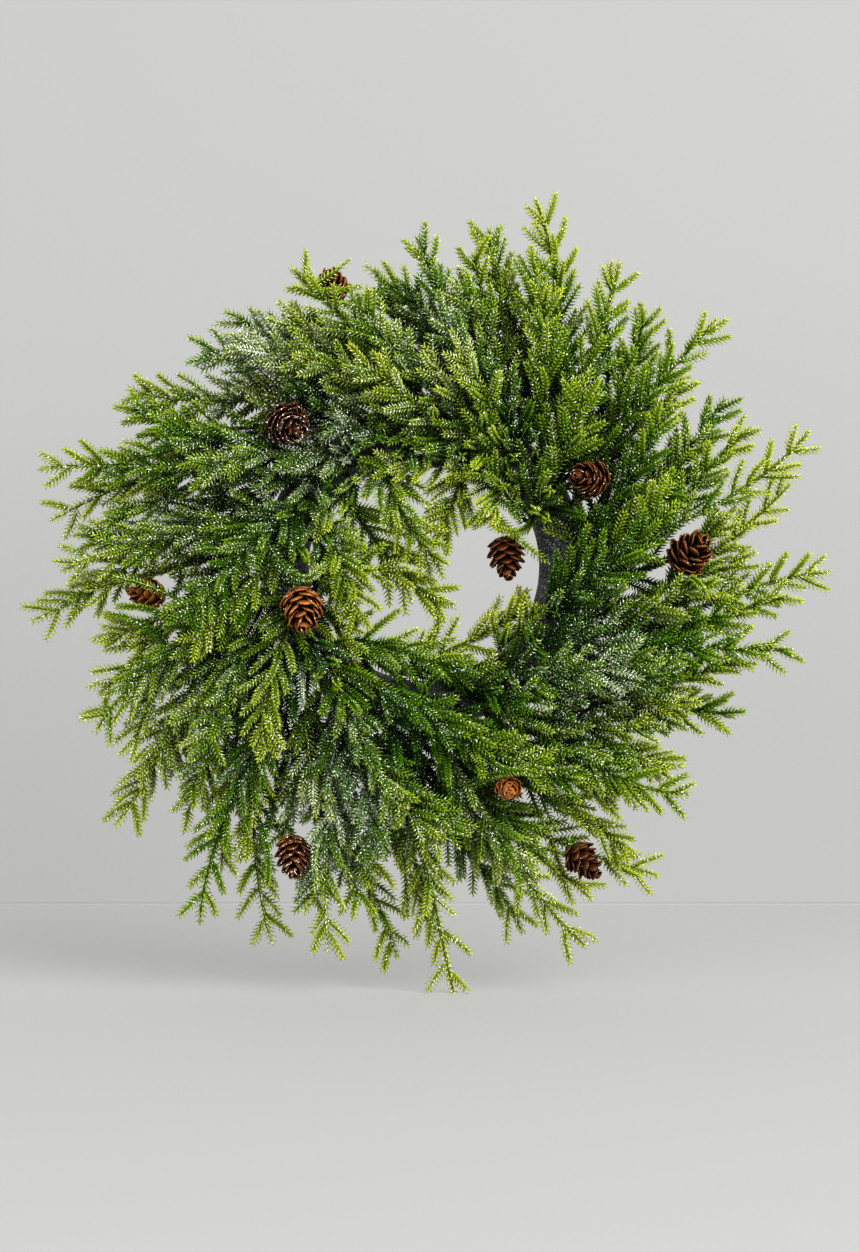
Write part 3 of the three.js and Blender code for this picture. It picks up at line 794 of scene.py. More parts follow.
# %% [markdown]
# ## Growing the branchlets
# The side shoots leave the stem at about forty-seven degrees, on alternate sides, and grow shorter towards
# the tip. First come the ones that the solid model has, from the same seeds. Then the gaps between them are
# filled with the rest of the real wreath's shoots, which may stand closer together.

# %% The rule for a branchlet
BRANCHLET_LONGEST = 44
BRANCHLET_SHORTEST = 24
BRANCHLET_LENGTH_VARIES = 0.06
BRANCHLET_ANGLE = 47
BRANCHLET_ANGLE_VARIES = 8
BRANCHLET_LIFT = 16
BRANCHLET_LIFT_VARIES = 30
BRANCHLET_LEAST_LIFT = -20
BRANCHLET_MOST_LIFT = 75
BRANCHLET_FORWARD_BEND = 0.4
BRANCHLET_ROOM = 7.5
BRANCHLET_LOOSER_EACH_TRY = 0.12
BRANCHLET_SHORTER_EACH_TRY = 0.025
SOLID_RULE = {"lift": BRANCHLET_LIFT, "angle": BRANCHLET_ANGLE, "room": BRANCHLET_ROOM}


def branchlet_of(spray, share, face, seed, attempt, rule, longer):
    draw = draws_from(seed + attempt)
    loosen = 1 + attempt * BRANCHLET_LOOSER_EACH_TRY
    along, side, front = stem_sides(spray.stem, share)
    wanted_lift = rule["lift"] + spread(draw, BRANCHLET_LIFT_VARIES) * loosen
    lift = min(max(wanted_lift, BRANCHLET_LEAST_LIFT), BRANCHLET_MOST_LIFT)
    out = turned_way(side, front, lift if face == 0 else 180 - lift)
    lean = math.radians(rule["angle"] + spread(draw, BRANCHLET_ANGLE_VARIES) * loosen)
    way = along * math.cos(lean) + out * math.sin(lean)
    shorter = 1 - BRANCHLET_SHORTER_EACH_TRY * attempt
    varied = 1 + spread(draw, BRANCHLET_LENGTH_VARIES)
    length = BRANCHLET_LONGEST + (BRANCHLET_SHORTEST - BRANCHLET_LONGEST) * share
    length = length * shorter * varied * longer
    start = spray.stem.at(share)
    middle = start + way * length / 2
    bend = along * BRANCHLET_FORWARD_BEND
    if "stray" in rule:
        bend = bend + side * spread(draw, rule["stray"]) + front * spread(draw, rule["stray"])
    end = middle + unit(way + bend) * length / 2
    return Axis(length, start, middle, end)


print("branchlets: from", BRANCHLET_LONGEST, "mm at the root to", BRANCHLET_SHORTEST, "mm at the tip")

# %% [markdown]
# A branchlet has to lie free of the ring, of the other sprays and of its own neighbours. One that doesn't
# is drawn again with a looser hand, and a little shorter each time. If no try fits, its place stays empty.

# %% Finding room for a branchlet
BRANCHLET_BACK_ROOM = 7
BRANCHLET_RING_ROOM = 4


def branchlet_fits(axis, spray, room, view_free):
    points = axis.points(BEAD_SPACING)[1:]
    if not view_free(points):
        return False
    if (-points[:, 1] < BRANCHLET_BACK_ROOM).any() or touches_ring(points, BRANCHLET_RING_ROOM).any():
        return False
    own = beads.number(spray.name)
    if not beads.leave_room(points, room, lambda owners, _: owners != own):
        return False
    if not beads.leave_room(points, TWIG_ROOM, lambda owners, on_twig: (owners == own) & on_twig):
        return False
    free = away_from(points, axis.at(0), OWN_ROOT_ZONE)
    return beads.leave_room(free, OWN_ROOM, lambda owners, _: owners == own)


def try_branchlet(spray, spot, share, face, seed, rule, tries, longer=1.0, view_free=lambda points: True):
    for attempt in range(tries):
        axis = branchlet_of(spray, share, face, seed, attempt, rule, longer)
        if branchlet_fits(axis, spray, rule["room"], view_free):
            spray.sprouts[spot] = (axis, share)
            beads.thread(axis.points(BEAD_SPACING)[1:], spray.name)
            return


print("room between branchlets:", BRANCHLET_ROOM, "mm")

# %% [markdown]
# The solid model's own branchlets come first. They are tried in the same order and from the same seeds as
# there, so each of them ends up round its solid one.

# %% The branchlets of the solid model
BRANCHLET_SEEDS = 100
STATION_SEEDS = 20
STEM_BARE_SHARE = 0.13


def grow_branchlets(spray):
    for station in range(1, spray.stations):
        share = station / spray.stations
        if share < STEM_BARE_SHARE or station == spray.twig_station:
            continue
        face = station % 2
        seed = spray.seed + BRANCHLET_SEEDS + station * STATION_SEEDS
        try_branchlet(spray, (station, face), share, face, seed, SOLID_RULE, TRIES)


for spray in sprays:
    grow_branchlets(spray)
solid_count = sum(len(spray.sprouts) for spray in sprays)
print("branchlets shared with the solid model:", solid_count)

# %% [markdown]
# ## Keeping the view open
# Some things on the wreath stay in view however full it is: the cones, the bare ring at the right and at
# the bottom, and the hole. A shoot that would hide one of them is left out, as a maker would bend it aside.
# Seen from the front, each of them is a round spot that has to stay clear in front of its depth.

# %% Spots that stay clear: right of the centre, above it, radius
HOLE_SPOTS = [
    (46, -8, 27),
    (20, -58, 11),
    (66, 10, 23),
    (34, 4, 15),
]
RING_SPOTS = [
    (89, 22, 4),
    (92, 6, 5),
    (91, -12, 5),
    (87, -26, 4),
    (-28, -90, 4),
    (-10, -93, 4),
    (8, -93, 4),
]
CONE_CLEAR_SHARE = 0.8
CONE_CLEAR_TOWARDS_APEX = 0.14
HALF_HIDDEN_CONES = ("cone_09", "cone_10")
HALF_HIDDEN_SHARE = 0.35
FRONT_LIMIT = 106


def clear_spots():
    spots = [(*spot, 0) for spot in HOLE_SPOTS]
    spots += [(*spot, RING_DEPTH) for spot in RING_SPOTS]
    for cone in cones:
        share = HALF_HIDDEN_SHARE if cone.name in HALF_HIDDEN_CONES else CONE_CLEAR_SHARE
        seen = cone.centre + cone.way * cone.length * CONE_CLEAR_TOWARDS_APEX
        spots.append((seen[0], seen[2], cone.length / 2 * share, -cone.centre[1]))
    return np.array(spots, float)


SPOTS = clear_spots()


def keeps_view(points):
    across = np.hypot(points[:, None, 0] - SPOTS[:, 0], points[:, None, 2] - SPOTS[:, 1])
    hides = (across < SPOTS[:, 2]) & (-points[:, None, 1] > SPOTS[:, 3])
    return not hides.any() and bool((-points[:, 1] < FRONT_LIMIT).all())


print("clear spots:", len(SPOTS))

# %% [markdown]
# ## Filling sprays
# The forty-nine sprays of the solid model carry the outline. The real wreath has more: shorter ones are
# tucked in between until the ring is hidden. They spring from the ring in rows, from the outside in, and
# each row has its own reach and depth. A filler that finds no room is left out.

# %% Rows of fillers, each with its tips' reach from the middle or their distance inside the outline
FILLER_ROWS = [
    {"count": 44, "section": 40, "inside": 34, "depth": 44, "sweep": 26, "lag": 26},
    {"count": 36, "section": 50, "inside": 58, "depth": 42, "sweep": 24, "lag": 26},
    {"count": 30, "section": 80, "reach": 205, "depth": 78, "sweep": 30, "lag": 26},
    {"count": 24, "section": 100, "reach": 168, "depth": 88, "sweep": 48, "lag": 30},
    {"count": 24, "section": 115, "reach": 132, "depth": 66, "sweep": 62, "lag": 30},
    {"count": 18, "section": 135, "reach": 104, "depth": 44, "sweep": 84, "lag": 32},
    {"count": 20, "section": 145, "reach": 84, "depth": 52, "sweep": 96, "lag": 36},
]
print("rows of fillers:", len(FILLER_ROWS))

# %% [markdown]
# A filler is planned from its row, with a little chance in its angle, reach, depth and sweep. If half of
# its tries find no room where the row says, the others leave the ring nearer its outer edge.

# %% Growing the fillers
FILLER_SEEDS = 4_000_000
FILLER_ROOM = 6.2
FILLER_REACH_VARIES = 16
FILLER_DEPTH_VARIES = 12
FILLER_SWEEP_VARIES = 20
FILLER_TURN_VARIES = 5
FILLER_ROW_SHIFT = 0.37
FILLER_TIP_LIFT = 0.15
FILLER_RING_ROOM = 2
FILLER_STATION_SPACING = 15.0
FILLER_OUTER_SECTION = 42
FILLER_INSIDE_OUTLINE = 20
ROW_SEEDS = 10_000


def outline_reach(turn):
    """How far the solid model's outer sprays reach at a clock angle"""
    angles, reaches = zip(*[(angle, reach) for angle, reach, _, _ in OUTER_SPRAYS])
    return float(np.interp(turn, angles, reaches, period=360))


def filler_stem(spray, row, angle, attempt):
    draw = draws_from(spray.seed + attempt)
    turn = angle + spread(draw, FILLER_TURN_VARIES)
    outline = outline_reach(turn)
    reach = row["reach"] if "reach" in row else outline - row["inside"]
    reach = min(reach + spread(draw, FILLER_REACH_VARIES), outline - FILLER_INSIDE_OUTLINE)
    depth = row["depth"] + spread(draw, FILLER_DEPTH_VARIES)
    way = heading(turn + row["sweep"] + spread(draw, FILLER_SWEEP_VARIES))
    way = unit(way + TOWARDS_VIEWER * FILLER_TIP_LIFT)
    section = row["section"] if attempt < TRIES / 2 else FILLER_OUTER_SECTION
    place, facing = ring_facet(turn - row["lag"], section)
    start, tip = place + facing * ROOT_GAP, on_wreath(turn, reach, depth)
    return bent_axis(start, facing, tip, way, STEM_ROOT_REACH, STEM_TIP_REACH)


def grow_filler(spray, row, angle):
    for attempt in range(TRIES):
        spray.stem = filler_stem(spray, row, angle, attempt)
        points = spray.stem.points(BEAD_SPACING)
        free = away_from(points, points[0], OWN_ROOT_ZONE)
        if touches_ring(free, FILLER_RING_ROOM).any() or not keeps_view(points):
            continue
        if beads.leave_room(points[1:], FILLER_ROOM):
            beads.thread(points, spray.name)
            spray.stations = max(STEM_FEWEST_STATIONS, round(spray.stem.length / FILLER_STATION_SPACING))
            return True
    return False


def grow_fillers():
    fillers = []
    for number, row in enumerate(FILLER_ROWS):
        for i in range(row["count"]):
            angle = 360 / row["count"] * (i + FILLER_ROW_SHIFT * number)
            seed = FILLER_SEEDS + number * ROW_SEEDS + i * SPRAY_SEEDS
            spray = Spray(label(f"filler_{number + 1}", i), seed)
            if grow_filler(spray, row, angle):
                fillers.append(spray)
    return fillers


fillers = grow_fillers()
print("fillers:", len(fillers))

# %% [markdown]
# At the right the ring shows only its inner edge, because a few sprays lie along it and lean over its
# outer half, and at the left it is quite hidden. These sprays keep no rule, so they are listed one by one,
# like those of the solid model. So are a few that close a thin place in the foliage.

# %% Sprays listed one by one: root angle, section, tip right of the centre, above it, depth, heading
HAND_SPRAYS = [
    (-52, 50, 101, -26, 44, 92),
    (-36, 32, 104, 8, 50, 108),
    (-20, 28, 105, 32, 56, 118),
    (-6, 24, 108, 54, 48, 126),
    (8, 30, 104, 80, 58, 132),
    (-66, 60, 80, -70, 46, 70),
    (-30, 12, 134, 16, 70, 92),
    (-80, 100, 56, -88, 44, 46),
    (142, 40, -112, 56, 62, 215),
    (160, 50, -120, 12, 70, 240),
    (176, 40, -112, -26, 60, 262),
    (128, 60, -84, 84, 64, 200),
    (-14, 44, 246, 2, 34, 14),
    (-8, 40, 232, 34, 40, 38),
    (-22, 44, 236, -24, 38, -4),
    (232, 44, -130, -226, 36, 250),
    (240, 50, -84, -262, 32, 262),
    (226, 50, -112, -206, 34, 250),
    (238, 70, -98, -192, 46, 258),
    (262, 44, 6, -246, 34, 275),
    (176, 44, -262, -22, 36, 188),
    (206, 44, -218, -160, 38, 222),
    (304, 44, 186, -156, 36, 322),
    (146, 44, -222, 118, 36, 150),
    (256, 44, -14, -262, 30, 268),
    (168, 40, -256, 18, 34, 178),
    (180, 44, -242, -58, 40, 196),
    (231, 92, 70, -136, 92, 348),
    (226, 70, 18, -200, 82, 320),
]
HAND_SEEDS = 6_000_000
HAND_TRIES = 6
HAND_SHIFT = 5
HAND_ROOM = 3.5
HAND_ROOT_REACH = 0.35
HAND_STATION_SPACING = 11.0


def grow_by_hand(number, root_angle, section, right, up, depth, way):
    spray = Spray(label("filler_hand", number), HAND_SEEDS + number * SPRAY_SEEDS)
    place, facing = ring_facet(root_angle, section)
    start = place + facing * ROOT_GAP
    for attempt in range(HAND_TRIES):
        draw = draws_from(spray.seed + attempt)
        tip = np.array([right + spread(draw, HAND_SHIFT), -depth, up + spread(draw, HAND_SHIFT)])
        spray.stem = bent_axis(start, facing, tip, heading(way), HAND_ROOT_REACH, STEM_TIP_REACH)
        points = spray.stem.points(BEAD_SPACING)
        if beads.leave_room(points[1:], HAND_ROOM):
            break
    beads.thread(points, spray.name)
    spray.stations = max(STEM_FEWEST_STATIONS, round(spray.stem.length / HAND_STATION_SPACING))
    return spray


fillers += [grow_by_hand(number, *mark) for number, mark in enumerate(HAND_SPRAYS)]
print("with those laid by hand:", len(fillers))

# %% [markdown]
# ## Shoots across the cones
# Several cones look out from behind a shoot. These shoots are listed one by one: each crosses in front of
# its cone, from one clock angle round it to another, and grows from the nearest spray.

# %% Covering shoots: cone, clock angle they come from, angle they point to, shift to the right, shift up
COVERS = [
    (3, 60, 150, 4, 15),
    (3, 100, 325, 13, 9),
    (4, 250, 300, -2, -15),
    (5, 100, 60, 5, 15),
    (6, 150, 20, 0, 10),
    (6, 160, 350, 0, 15),
    (9, 215, 40, -2, 3),
    (9, 190, 15, 2, -9),
    (10, 350, 170, 0, 9),
    (10, 330, 185, 2, -8),
    (10, 300, 175, -8, -17),
    (8, 110, 262, -16, 2),
    (8, 70, 278, 15, 5),
]
COVER_START = 34
COVER_HALF_SPAN = 22
COVER_IN_FRONT = 5.5
COVER_SEATS = 12


def cover_seats(start):
    """Every place on a spray from which a shoot could grow, with its distance from a start"""
    for spray in sprays:
        for k in range(2, COVER_SEATS):
            share = k / COVER_SEATS
            yield np.linalg.norm(spray.stem.at(share) - start), spray, share


def grow_cover(number, cone, angle_from, angle_to, right, up):
    middle = cone.centre + TOWARDS_VIEWER * (cone.width / 2 + COVER_IN_FRONT) + np.array([right, 0, up])
    start = cone.centre + heading(angle_from) * COVER_START
    _, spray, share = min(cover_seats(start), key=lambda seat: seat[0])
    root = spray.stem.at(share)
    end = middle + heading(angle_to) * COVER_HALF_SPAN
    handle = middle - heading(angle_to) * COVER_HALF_SPAN / 2
    length = np.linalg.norm(middle - root) + COVER_HALF_SPAN
    axis = Axis(length, root, handle, end)
    spray.sprouts[("cover", number)] = (axis, share)
    beads.thread(axis.points(BEAD_SPACING)[1:], spray.name)
    return spray.name


for number, (cone_number, *cover) in enumerate(COVERS):
    print("cone", cone_number, "is crossed from", grow_cover(number, cones[cone_number - 1], *cover))

# %% [markdown]
# ## Filling the sprays with shoots
# The shoots of the fillers and the missing ones of the solid model's sprays go in by rounds: first on
# both sides in turn, then between those, then a round that leans towards the viewer, which gives the
# wreath its depth, and last one that leans back. Later rounds need less room.

# %% Rounds of further branchlets
FILL_SEEDS = 500_000
ROUND_SEEDS = 10_000_000
FILL_TRIES = 10
FILL_LONGER = (0.8, 1.35)
FILL_TIP_SHORTER = 0.7
OFFSET_VARIES = 0.2
FILL_LIMIT_VARIES = 22
FILL_LAST_SHARE = 0.97
FILL_ROUNDS = (
    {"offset": 0.1, "faces": (1, 0), "room": 7.0, "lift": 16, "angle": 42, "stray": 0.4, "limit": 400},
    {"offset": 0.45, "faces": (0, 1), "room": 6.8, "lift": 35, "angle": 38, "stray": 0.5, "limit": 275},
    {"offset": 0.55, "faces": (1, 0), "room": 6.6, "lift": 64, "angle": 42, "stray": 0.6, "limit": 245},
    {"offset": 0.3, "faces": (1, 0), "room": 6.6, "lift": -10, "angle": 38, "stray": 0.5, "limit": 236},
)


def fill_round(spray, number, rule):
    draw = draws_from(spray.seed + FILL_SEEDS + number * ROUND_SEEDS)
    limit = rule["limit"] + spread(draw, FILL_LIMIT_VARIES)
    shortest, longest = FILL_LONGER
    for station in range(1, spray.stations):
        share = (station + rule["offset"] + spread(draw, OFFSET_VARIES)) / spray.stations
        longer = shortest + (longest - shortest) * draw() * (1 - FILL_TIP_SHORTER * share)
        face = rule["faces"][station % 2]
        seed = spray.seed + FILL_SEEDS + number * ROUND_SEEDS + station * STATION_SEEDS
        reach = math.hypot(*spray.stem.at(min(1, share))[[0, 2]])
        if share < FILL_LAST_SHARE and reach < limit and station != spray.twig_station:
            spot = (station, face, number)
            try_branchlet(spray, spot, share, face, seed, rule, FILL_TRIES, longer, keeps_view)


for number, rule in enumerate(FILL_ROUNDS, start=1):
    before = sum(len(spray.sprouts) for spray in sprays + fillers)
    for spray in sprays + fillers:
        fill_round(spray, number, rule)
    print("round", number, "adds", sum(len(spray.sprouts) for spray in sprays + fillers) - before)

# %% [markdown]
# ## A mould for fine pieces
# A spray is made of thousands of small closed skins: one slim tube for each wire and one awl for each
# needle. Blender would be slow if each were an object, so they are poured into one mesh. Next to its place,
# each vertex carries a few numbers that the paint will ask for, such as how near it is to a tip.

# %% Collecting skins into one mesh


class Mould:
    """Vertices, faces and named numbers, which become one mesh object"""

    def __init__(self, *names):
        self.vertices, self.faces, self.count = [], [], 0
        self.values = {name: [] for name in names}

    def pour(self, vertices, faces, **values):
        """Adds one skin, or many alike; a value is one number, or one for each skin or vertex"""
        self.faces.extend([corner + self.count for corner in face] for face in faces)
        self.vertices.append(vertices.reshape(-1, 3))
        for name, poured in self.values.items():
            poured.append(np.broadcast_to(values[name], vertices.shape[:-1]).ravel())
        self.count += len(self.vertices[-1])

    def turn_out(self, name):
        thing = new_object(name, in_scene(np.vstack(self.vertices)), self.faces)
        for key, poured in self.values.items():
            attribute = thing.data.attributes.new(key, "FLOAT", "POINT")
            attribute.data.foreach_set("value", np.concatenate(poured).astype(np.float32))
        return thing


print("a mould is ready")

# %% [markdown]
# ## Wires
# The core of a shoot is a slim tube that tapers. Its rings of vertices stand square on the curve, and each
# is turned by the same rule, so the tube doesn't twist. It ends in a point at the tip.

# %% Tubes
TUBE_SIDES = 5
TUBE_STEP = 9.0


def steady_side(axis):
    """A way square to the whole axis, from which rings are turned"""
    chord = unit(axis.at(1) - axis.at(0))
    least = np.eye(3)[np.argmin(np.abs(chord))]
    return off_axis(least, chord)


def frame_at(axis, share, steady):
    along = axis.along(share)
    side = off_axis(steady, along)
    return along, side, np.cross(along, side)


def tube_faces(steps):
    """The faces of a tube with a point at each end and a number of rings between"""
    last = steps * TUBE_SIDES + 1
    faces = []
    for k in range(TUBE_SIDES):
        after = (k + 1) % TUBE_SIDES
        faces.append((0, 1 + after, 1 + k))
        for i in range(steps - 1):
            low, high = 1 + i * TUBE_SIDES, 1 + (i + 1) * TUBE_SIDES
            faces.append((low + k, low + after, high + after, high + k))
        top = last - TUBE_SIDES
        faces.append((top + k, top + after, last))
    return faces


def tube(axis, root_radius, tip_radius):
    """Vertices and faces of a closed tapering tube, and each vertex's share of the length"""
    steps = max(2, round(axis.length / TUBE_STEP))
    shares = np.repeat(np.arange(steps) / steps, TUBE_SIDES)
    _, side, front = frame_at(axis, shares, steady_side(axis))
    turn = np.radians(360 / TUBE_SIDES * (np.arange(len(shares)) % TUBE_SIDES))[:, None]
    radius = (root_radius + (tip_radius - root_radius) * shares)[:, None]
    rings = axis.at(shares) + (side * np.cos(turn) + front * np.sin(turn)) * radius
    vertices = np.vstack([axis.at(0)[None], rings, axis.at(1)[None]])
    return vertices, tube_faces(steps), np.concatenate([[0.0], shares, [1.0]])


print("tube sides:", TUBE_SIDES)

# %% [markdown]
# ## Needles
# Each needle is a short awl: broad at its foot, bent forward, three-sided like the real moulded ones. They
# stand in pairs, each pair turned a quarter from the one before, which gives the herringbone look of the
# photograph. All the needles of a shoot are worked out at once as arrays, because a loop over more than a
# hundred thousand would be slow.

# %% Needles along a wire
PAIR_SPACING = 1.5
NEEDLE_LENGTH = 5.6
NEEDLE_WIDTH = 1.75
NEEDLE_KEEL = 1.3
NEEDLE_SUNK = 0.5
NEEDLE_FOOT_LEAN = 62
NEEDLE_TIP_LEAN = 46
NEEDLE_LEAN_VARIES = 6
NEEDLE_TURN_VARIES = 10
NEEDLE_LENGTH_VARIES = 0.1
NEEDLE_WAIST = 0.3
TUFT_LENGTH = 6.0
TUFT_LEAN = 0.42
TUFT_SHORTER = 0.8
# A needle has five corners: its foot, three round its waist, and its tip
NEEDLE_FACES = ((0, 1, 2), (0, 2, 3), (0, 3, 1), (1, 4, 2), (2, 4, 3), (3, 4, 1))
NEEDLE_OUT = (0.0, 0.3, 0.3, 0.3, 1.0)


def curve_frames(axis, distances):
    """Places and frames at distances along an axis, as arrays"""
    shares = np.clip(distances / axis.length, 0, 1)
    return shares, axis.at(shares), *frame_at(axis, shares, steady_side(axis))


def column(numbers):
    return np.asarray(numbers)[:, None]


def needle_skins(axis, kind, chance):
    """The corners of all the needles on an axis, and each needle's share of its length"""
    distances = np.arange(kind["first"], axis.length - kind["bare_end"], PAIR_SPACING)
    shares, places, along, side, front = (np.repeat(a, 2, axis=0) for a in curve_frames(axis, distances))
    count = len(shares)
    turn = chance.uniform(0, 90) + 90 * (np.arange(count) // 2) + 180 * (np.arange(count) % 2)
    turn = np.radians(turn + chance.uniform(-NEEDLE_TURN_VARIES, NEEDLE_TURN_VARIES, count))
    outward = side * column(np.cos(turn)) + front * column(np.sin(turn))
    across = np.cross(along, outward)
    to_tip = np.clip((1 - shares) * axis.length / TUFT_LENGTH, 0, 1)
    tuck = TUFT_LEAN + (1 - TUFT_LEAN) * to_tip
    varies = chance.uniform(-NEEDLE_LEAN_VARIES, NEEDLE_LEAN_VARIES, count)
    foot_lean = column(np.radians((NEEDLE_FOOT_LEAN + varies) * tuck))
    tip_lean = column(np.radians((NEEDLE_TIP_LEAN + varies) * tuck))
    length_varies = chance.uniform(-NEEDLE_LENGTH_VARIES, NEEDLE_LENGTH_VARIES, count)
    length = column(NEEDLE_LENGTH * (1 + length_varies) * (TUFT_SHORTER + (1 - TUFT_SHORTER) * to_tip))
    lower = along * np.cos(foot_lean) + outward * np.sin(foot_lean)
    upper = along * np.cos(tip_lean) + outward * np.sin(tip_lean)
    root_radius, tip_radius = kind["radii"]
    foot = places + outward * column(root_radius + (tip_radius - root_radius) * shares - NEEDLE_SUNK)
    waist = foot + lower * length * NEEDLE_WAIST
    tip = waist + upper * length * (1 - NEEDLE_WAIST)
    keel = np.cross(across, lower) * NEEDLE_KEEL
    half = across * NEEDLE_WIDTH / 2
    return np.stack([foot, waist + half, waist - half, waist - keel, tip], axis=1), shares


def needle_faces(count):
    """The faces of a number of needles whose corners follow each other"""
    first_corners = column(np.arange(count) * len(NEEDLE_OUT))
    return [face for pattern in NEEDLE_FACES for face in (first_corners + pattern).tolist()]


print("a needle has", len(needle_faces(1)), "faces")

# %% [markdown]
# ## Frost
# The real sprays were dusted with white flock and glitter before they were bundled, so whole shoots are
# frosted and others hardly. The photograph shows it heaviest in a few patches. Each shoot gets one number
# for its frost, from how near it lies to a patch and from chance. Two patches below the hole and at its
# right have sprays of a deeper green instead.

# %% Where the frost and the deep green lie: right of the ring's centre, above it, spread, strength
FROST_PATCHES = (
    (5, 160, 55, 0.6),
    (-130, 165, 55, 0.75),
    (-75, 100, 42, 0.85),
    (-75, -185, 52, 1.0),
    (-88, -88, 16, 0.7),
    (135, -78, 45, 0.6),
    (-190, 10, 55, 0.5),
    (-120, 60, 60, 0.45),
    (30, -235, 60, 0.5),
    (-95, -215, 34, 0.8),
    (-185, -115, 60, 0.5),
)
DEEP_PATCHES = (
    (-20, -125, 52, 0.8),
    (140, -70, 40, 0.4),
)
FROST_CHANCE = 0.4
FROST_LEAST = 0.35
FROST_VARIES = 0.85


def nearness(patches, place):
    """How near a place lies to the nearest patch: its strength at the middle, and 0 far away"""
    closest = 0.0
    for right, up, reach, strength in patches:
        distance = math.hypot(place[0] - right, place[2] - up)
        closest = max(closest, strength * math.exp(-((distance / reach) ** 2)))
    return closest


def frost_at(place, chance):
    dusted = FROST_CHANCE * chance.random() ** 2
    share = FROST_LEAST + FROST_VARIES * chance.random()
    return min(1.0, nearness(FROST_PATCHES, place) * share + dusted)


print("frost patches:", len(FROST_PATCHES))

# %% [markdown]
# ## Painted shade and new growth
# The green isn't even through the wreath. Deep behind the other shoots near the ring it is painted nearly
# black, as painted shade, and the tips that reach out or into the hole are a fresh green. Both follow from
# where a vertex lies, so two functions work them out from its place.

# %% Painted shade and youth
SHADE_FROM_DEPTH = 86
SHADE_TO_DEPTH = 32
SHADE_FROM_REACH = 215
SHADE_TO_REACH = 165
SHADE_INNER_REACH = 84
SHADE_INNER_FADE = 20
YOUNG_FROM_REACH = 215
YOUNG_TO_REACH = 300
YOUNG_GROWTH = 0.6
YOUNG_INNER_FROM_REACH = 92
YOUNG_INNER_TO_REACH = 62


def youth(places):
    """How much further out, or into the hole, than the old growth each place lies: its green is fresher"""
    reach = np.hypot(places[..., 0], places[..., 2])
    outer = (reach - YOUNG_FROM_REACH) / (YOUNG_TO_REACH - YOUNG_FROM_REACH)
    inner = (YOUNG_INNER_FROM_REACH - reach) / (YOUNG_INNER_FROM_REACH - YOUNG_INNER_TO_REACH)
    return YOUNG_GROWTH * np.clip(np.maximum(outer, inner), 0, 1)


def depth_shades(places):
    """How much painted shade each place gets for lying deep inside the wreath: 0 in front or far out, 1 at
    the back near the ring
    """
    reach = np.hypot(places[..., 0], places[..., 2])
    deep = np.clip((SHADE_FROM_DEPTH + places[..., 1]) / (SHADE_FROM_DEPTH - SHADE_TO_DEPTH), 0, 1)
    near = np.clip((SHADE_FROM_REACH - reach) / (SHADE_FROM_REACH - SHADE_TO_REACH), 0, 1)
    outside_hole = np.clip((reach - SHADE_INNER_REACH) / SHADE_INNER_FADE, 0, 1)
    return deep * near * outside_hole


print("youth at the longest tips:", youth(on_wreath(0, YOUNG_TO_REACH, 0)))

# %% [markdown]
# ## Dressing a spray
# One spray is one mesh: its stem, its branchlets with their needles, and its twig if it carries a cone.
# The new growth at the outer end is yellower than the old growth near the ring, so every vertex is told how
# far out it is. Three short notes say what differs between a stem, a branchlet and a twig: the radii at the
# two ends, where the first needle stands, how long the end is bare, and how much brown bark shows.

# %% Sprays
STEM = {"radii": (2.0, 1.1), "first": 12.0, "bare_end": 0.6, "bark": 1.0}
BRANCHLET = {"radii": (1.25, 0.9), "first": 2.2, "bare_end": 0.6, "bark": 0.6}
TWIG = {"radii": (TWIG_RADIUS, TWIG_RADIUS), "first": 3.0, "bare_end": 7.0, "bark": 0.8}
FROST_READ_AT = 0.6
NEEDLE_TONE_VARIES = 0.12
SPRAY_TONE_SHARE = 0.6
BRANCHLET_GROWTH_FROM = 0.55
BRANCHLET_GROWTH = 0.5
STEM_GROWTH = (0.0, 0.9)
TWIG_GROWTH = (0.2, 0.3)
TWIG_FROST = 0.2


def dress_shoot(mould, chance, axis, kind, growth, frost, tone):
    """One wire with its needles, where growth says how fresh its green is at the root and at the tip"""
    at_root, at_tip = growth
    vertices, faces, shares = tube(axis, *kind["radii"])
    grown = at_root + (at_tip - at_root) * shares + youth(vertices)
    wire = {"growth": grown, "out": 0.0, "tone": tone, "bark": kind["bark"], "age": depth_shades(vertices)}
    mould.pour(vertices, faces, frost=frost, **wire)
    skins, shares = needle_skins(axis, kind, chance)
    grown = column(at_root + (at_tip - at_root) * shares) + youth(skins)
    varies = chance.uniform(-NEEDLE_TONE_VARIES, NEEDLE_TONE_VARIES, len(shares))
    own_tone = column(tone + varies)
    needles = {"growth": grown, "out": NEEDLE_OUT, "tone": own_tone, "bark": 0.0, "age": depth_shades(skins)}
    mould.pour(skins, needle_faces(len(skins)), frost=frost, **needles)


def dress_spray(spray, stands_for=None):
    chance = np.random.default_rng(spray.seed)
    mould = Mould("growth", "out", "tone", "frost", "bark", "age")
    spray_tone = chance.random()
    frost = frost_at(spray.stem.at(FROST_READ_AT), chance)
    dress_shoot(mould, chance, spray.stem, STEM, STEM_GROWTH, frost, spray_tone)
    for axis, share in spray.sprouts.values():
        tone = SPRAY_TONE_SHARE * spray_tone + (1 - SPRAY_TONE_SHARE) * chance.random()
        tone *= 1 - nearness(DEEP_PATCHES, axis.at(0.5))
        frost = frost_at(axis.at(0.5), chance)
        grown = BRANCHLET_GROWTH_FROM * share
        dress_shoot(mould, chance, axis, BRANCHLET, (grown, grown + BRANCHLET_GROWTH), frost, tone)
    if spray.twig is not None:
        dress_shoot(mould, chance, spray.twig, TWIG, TWIG_GROWTH, TWIG_FROST, spray_tone)
    thing = mould.turn_out("dressed_" + spray.name)
    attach(thing, "root")
    if stands_for:
        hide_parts(stands_for)
    return thing


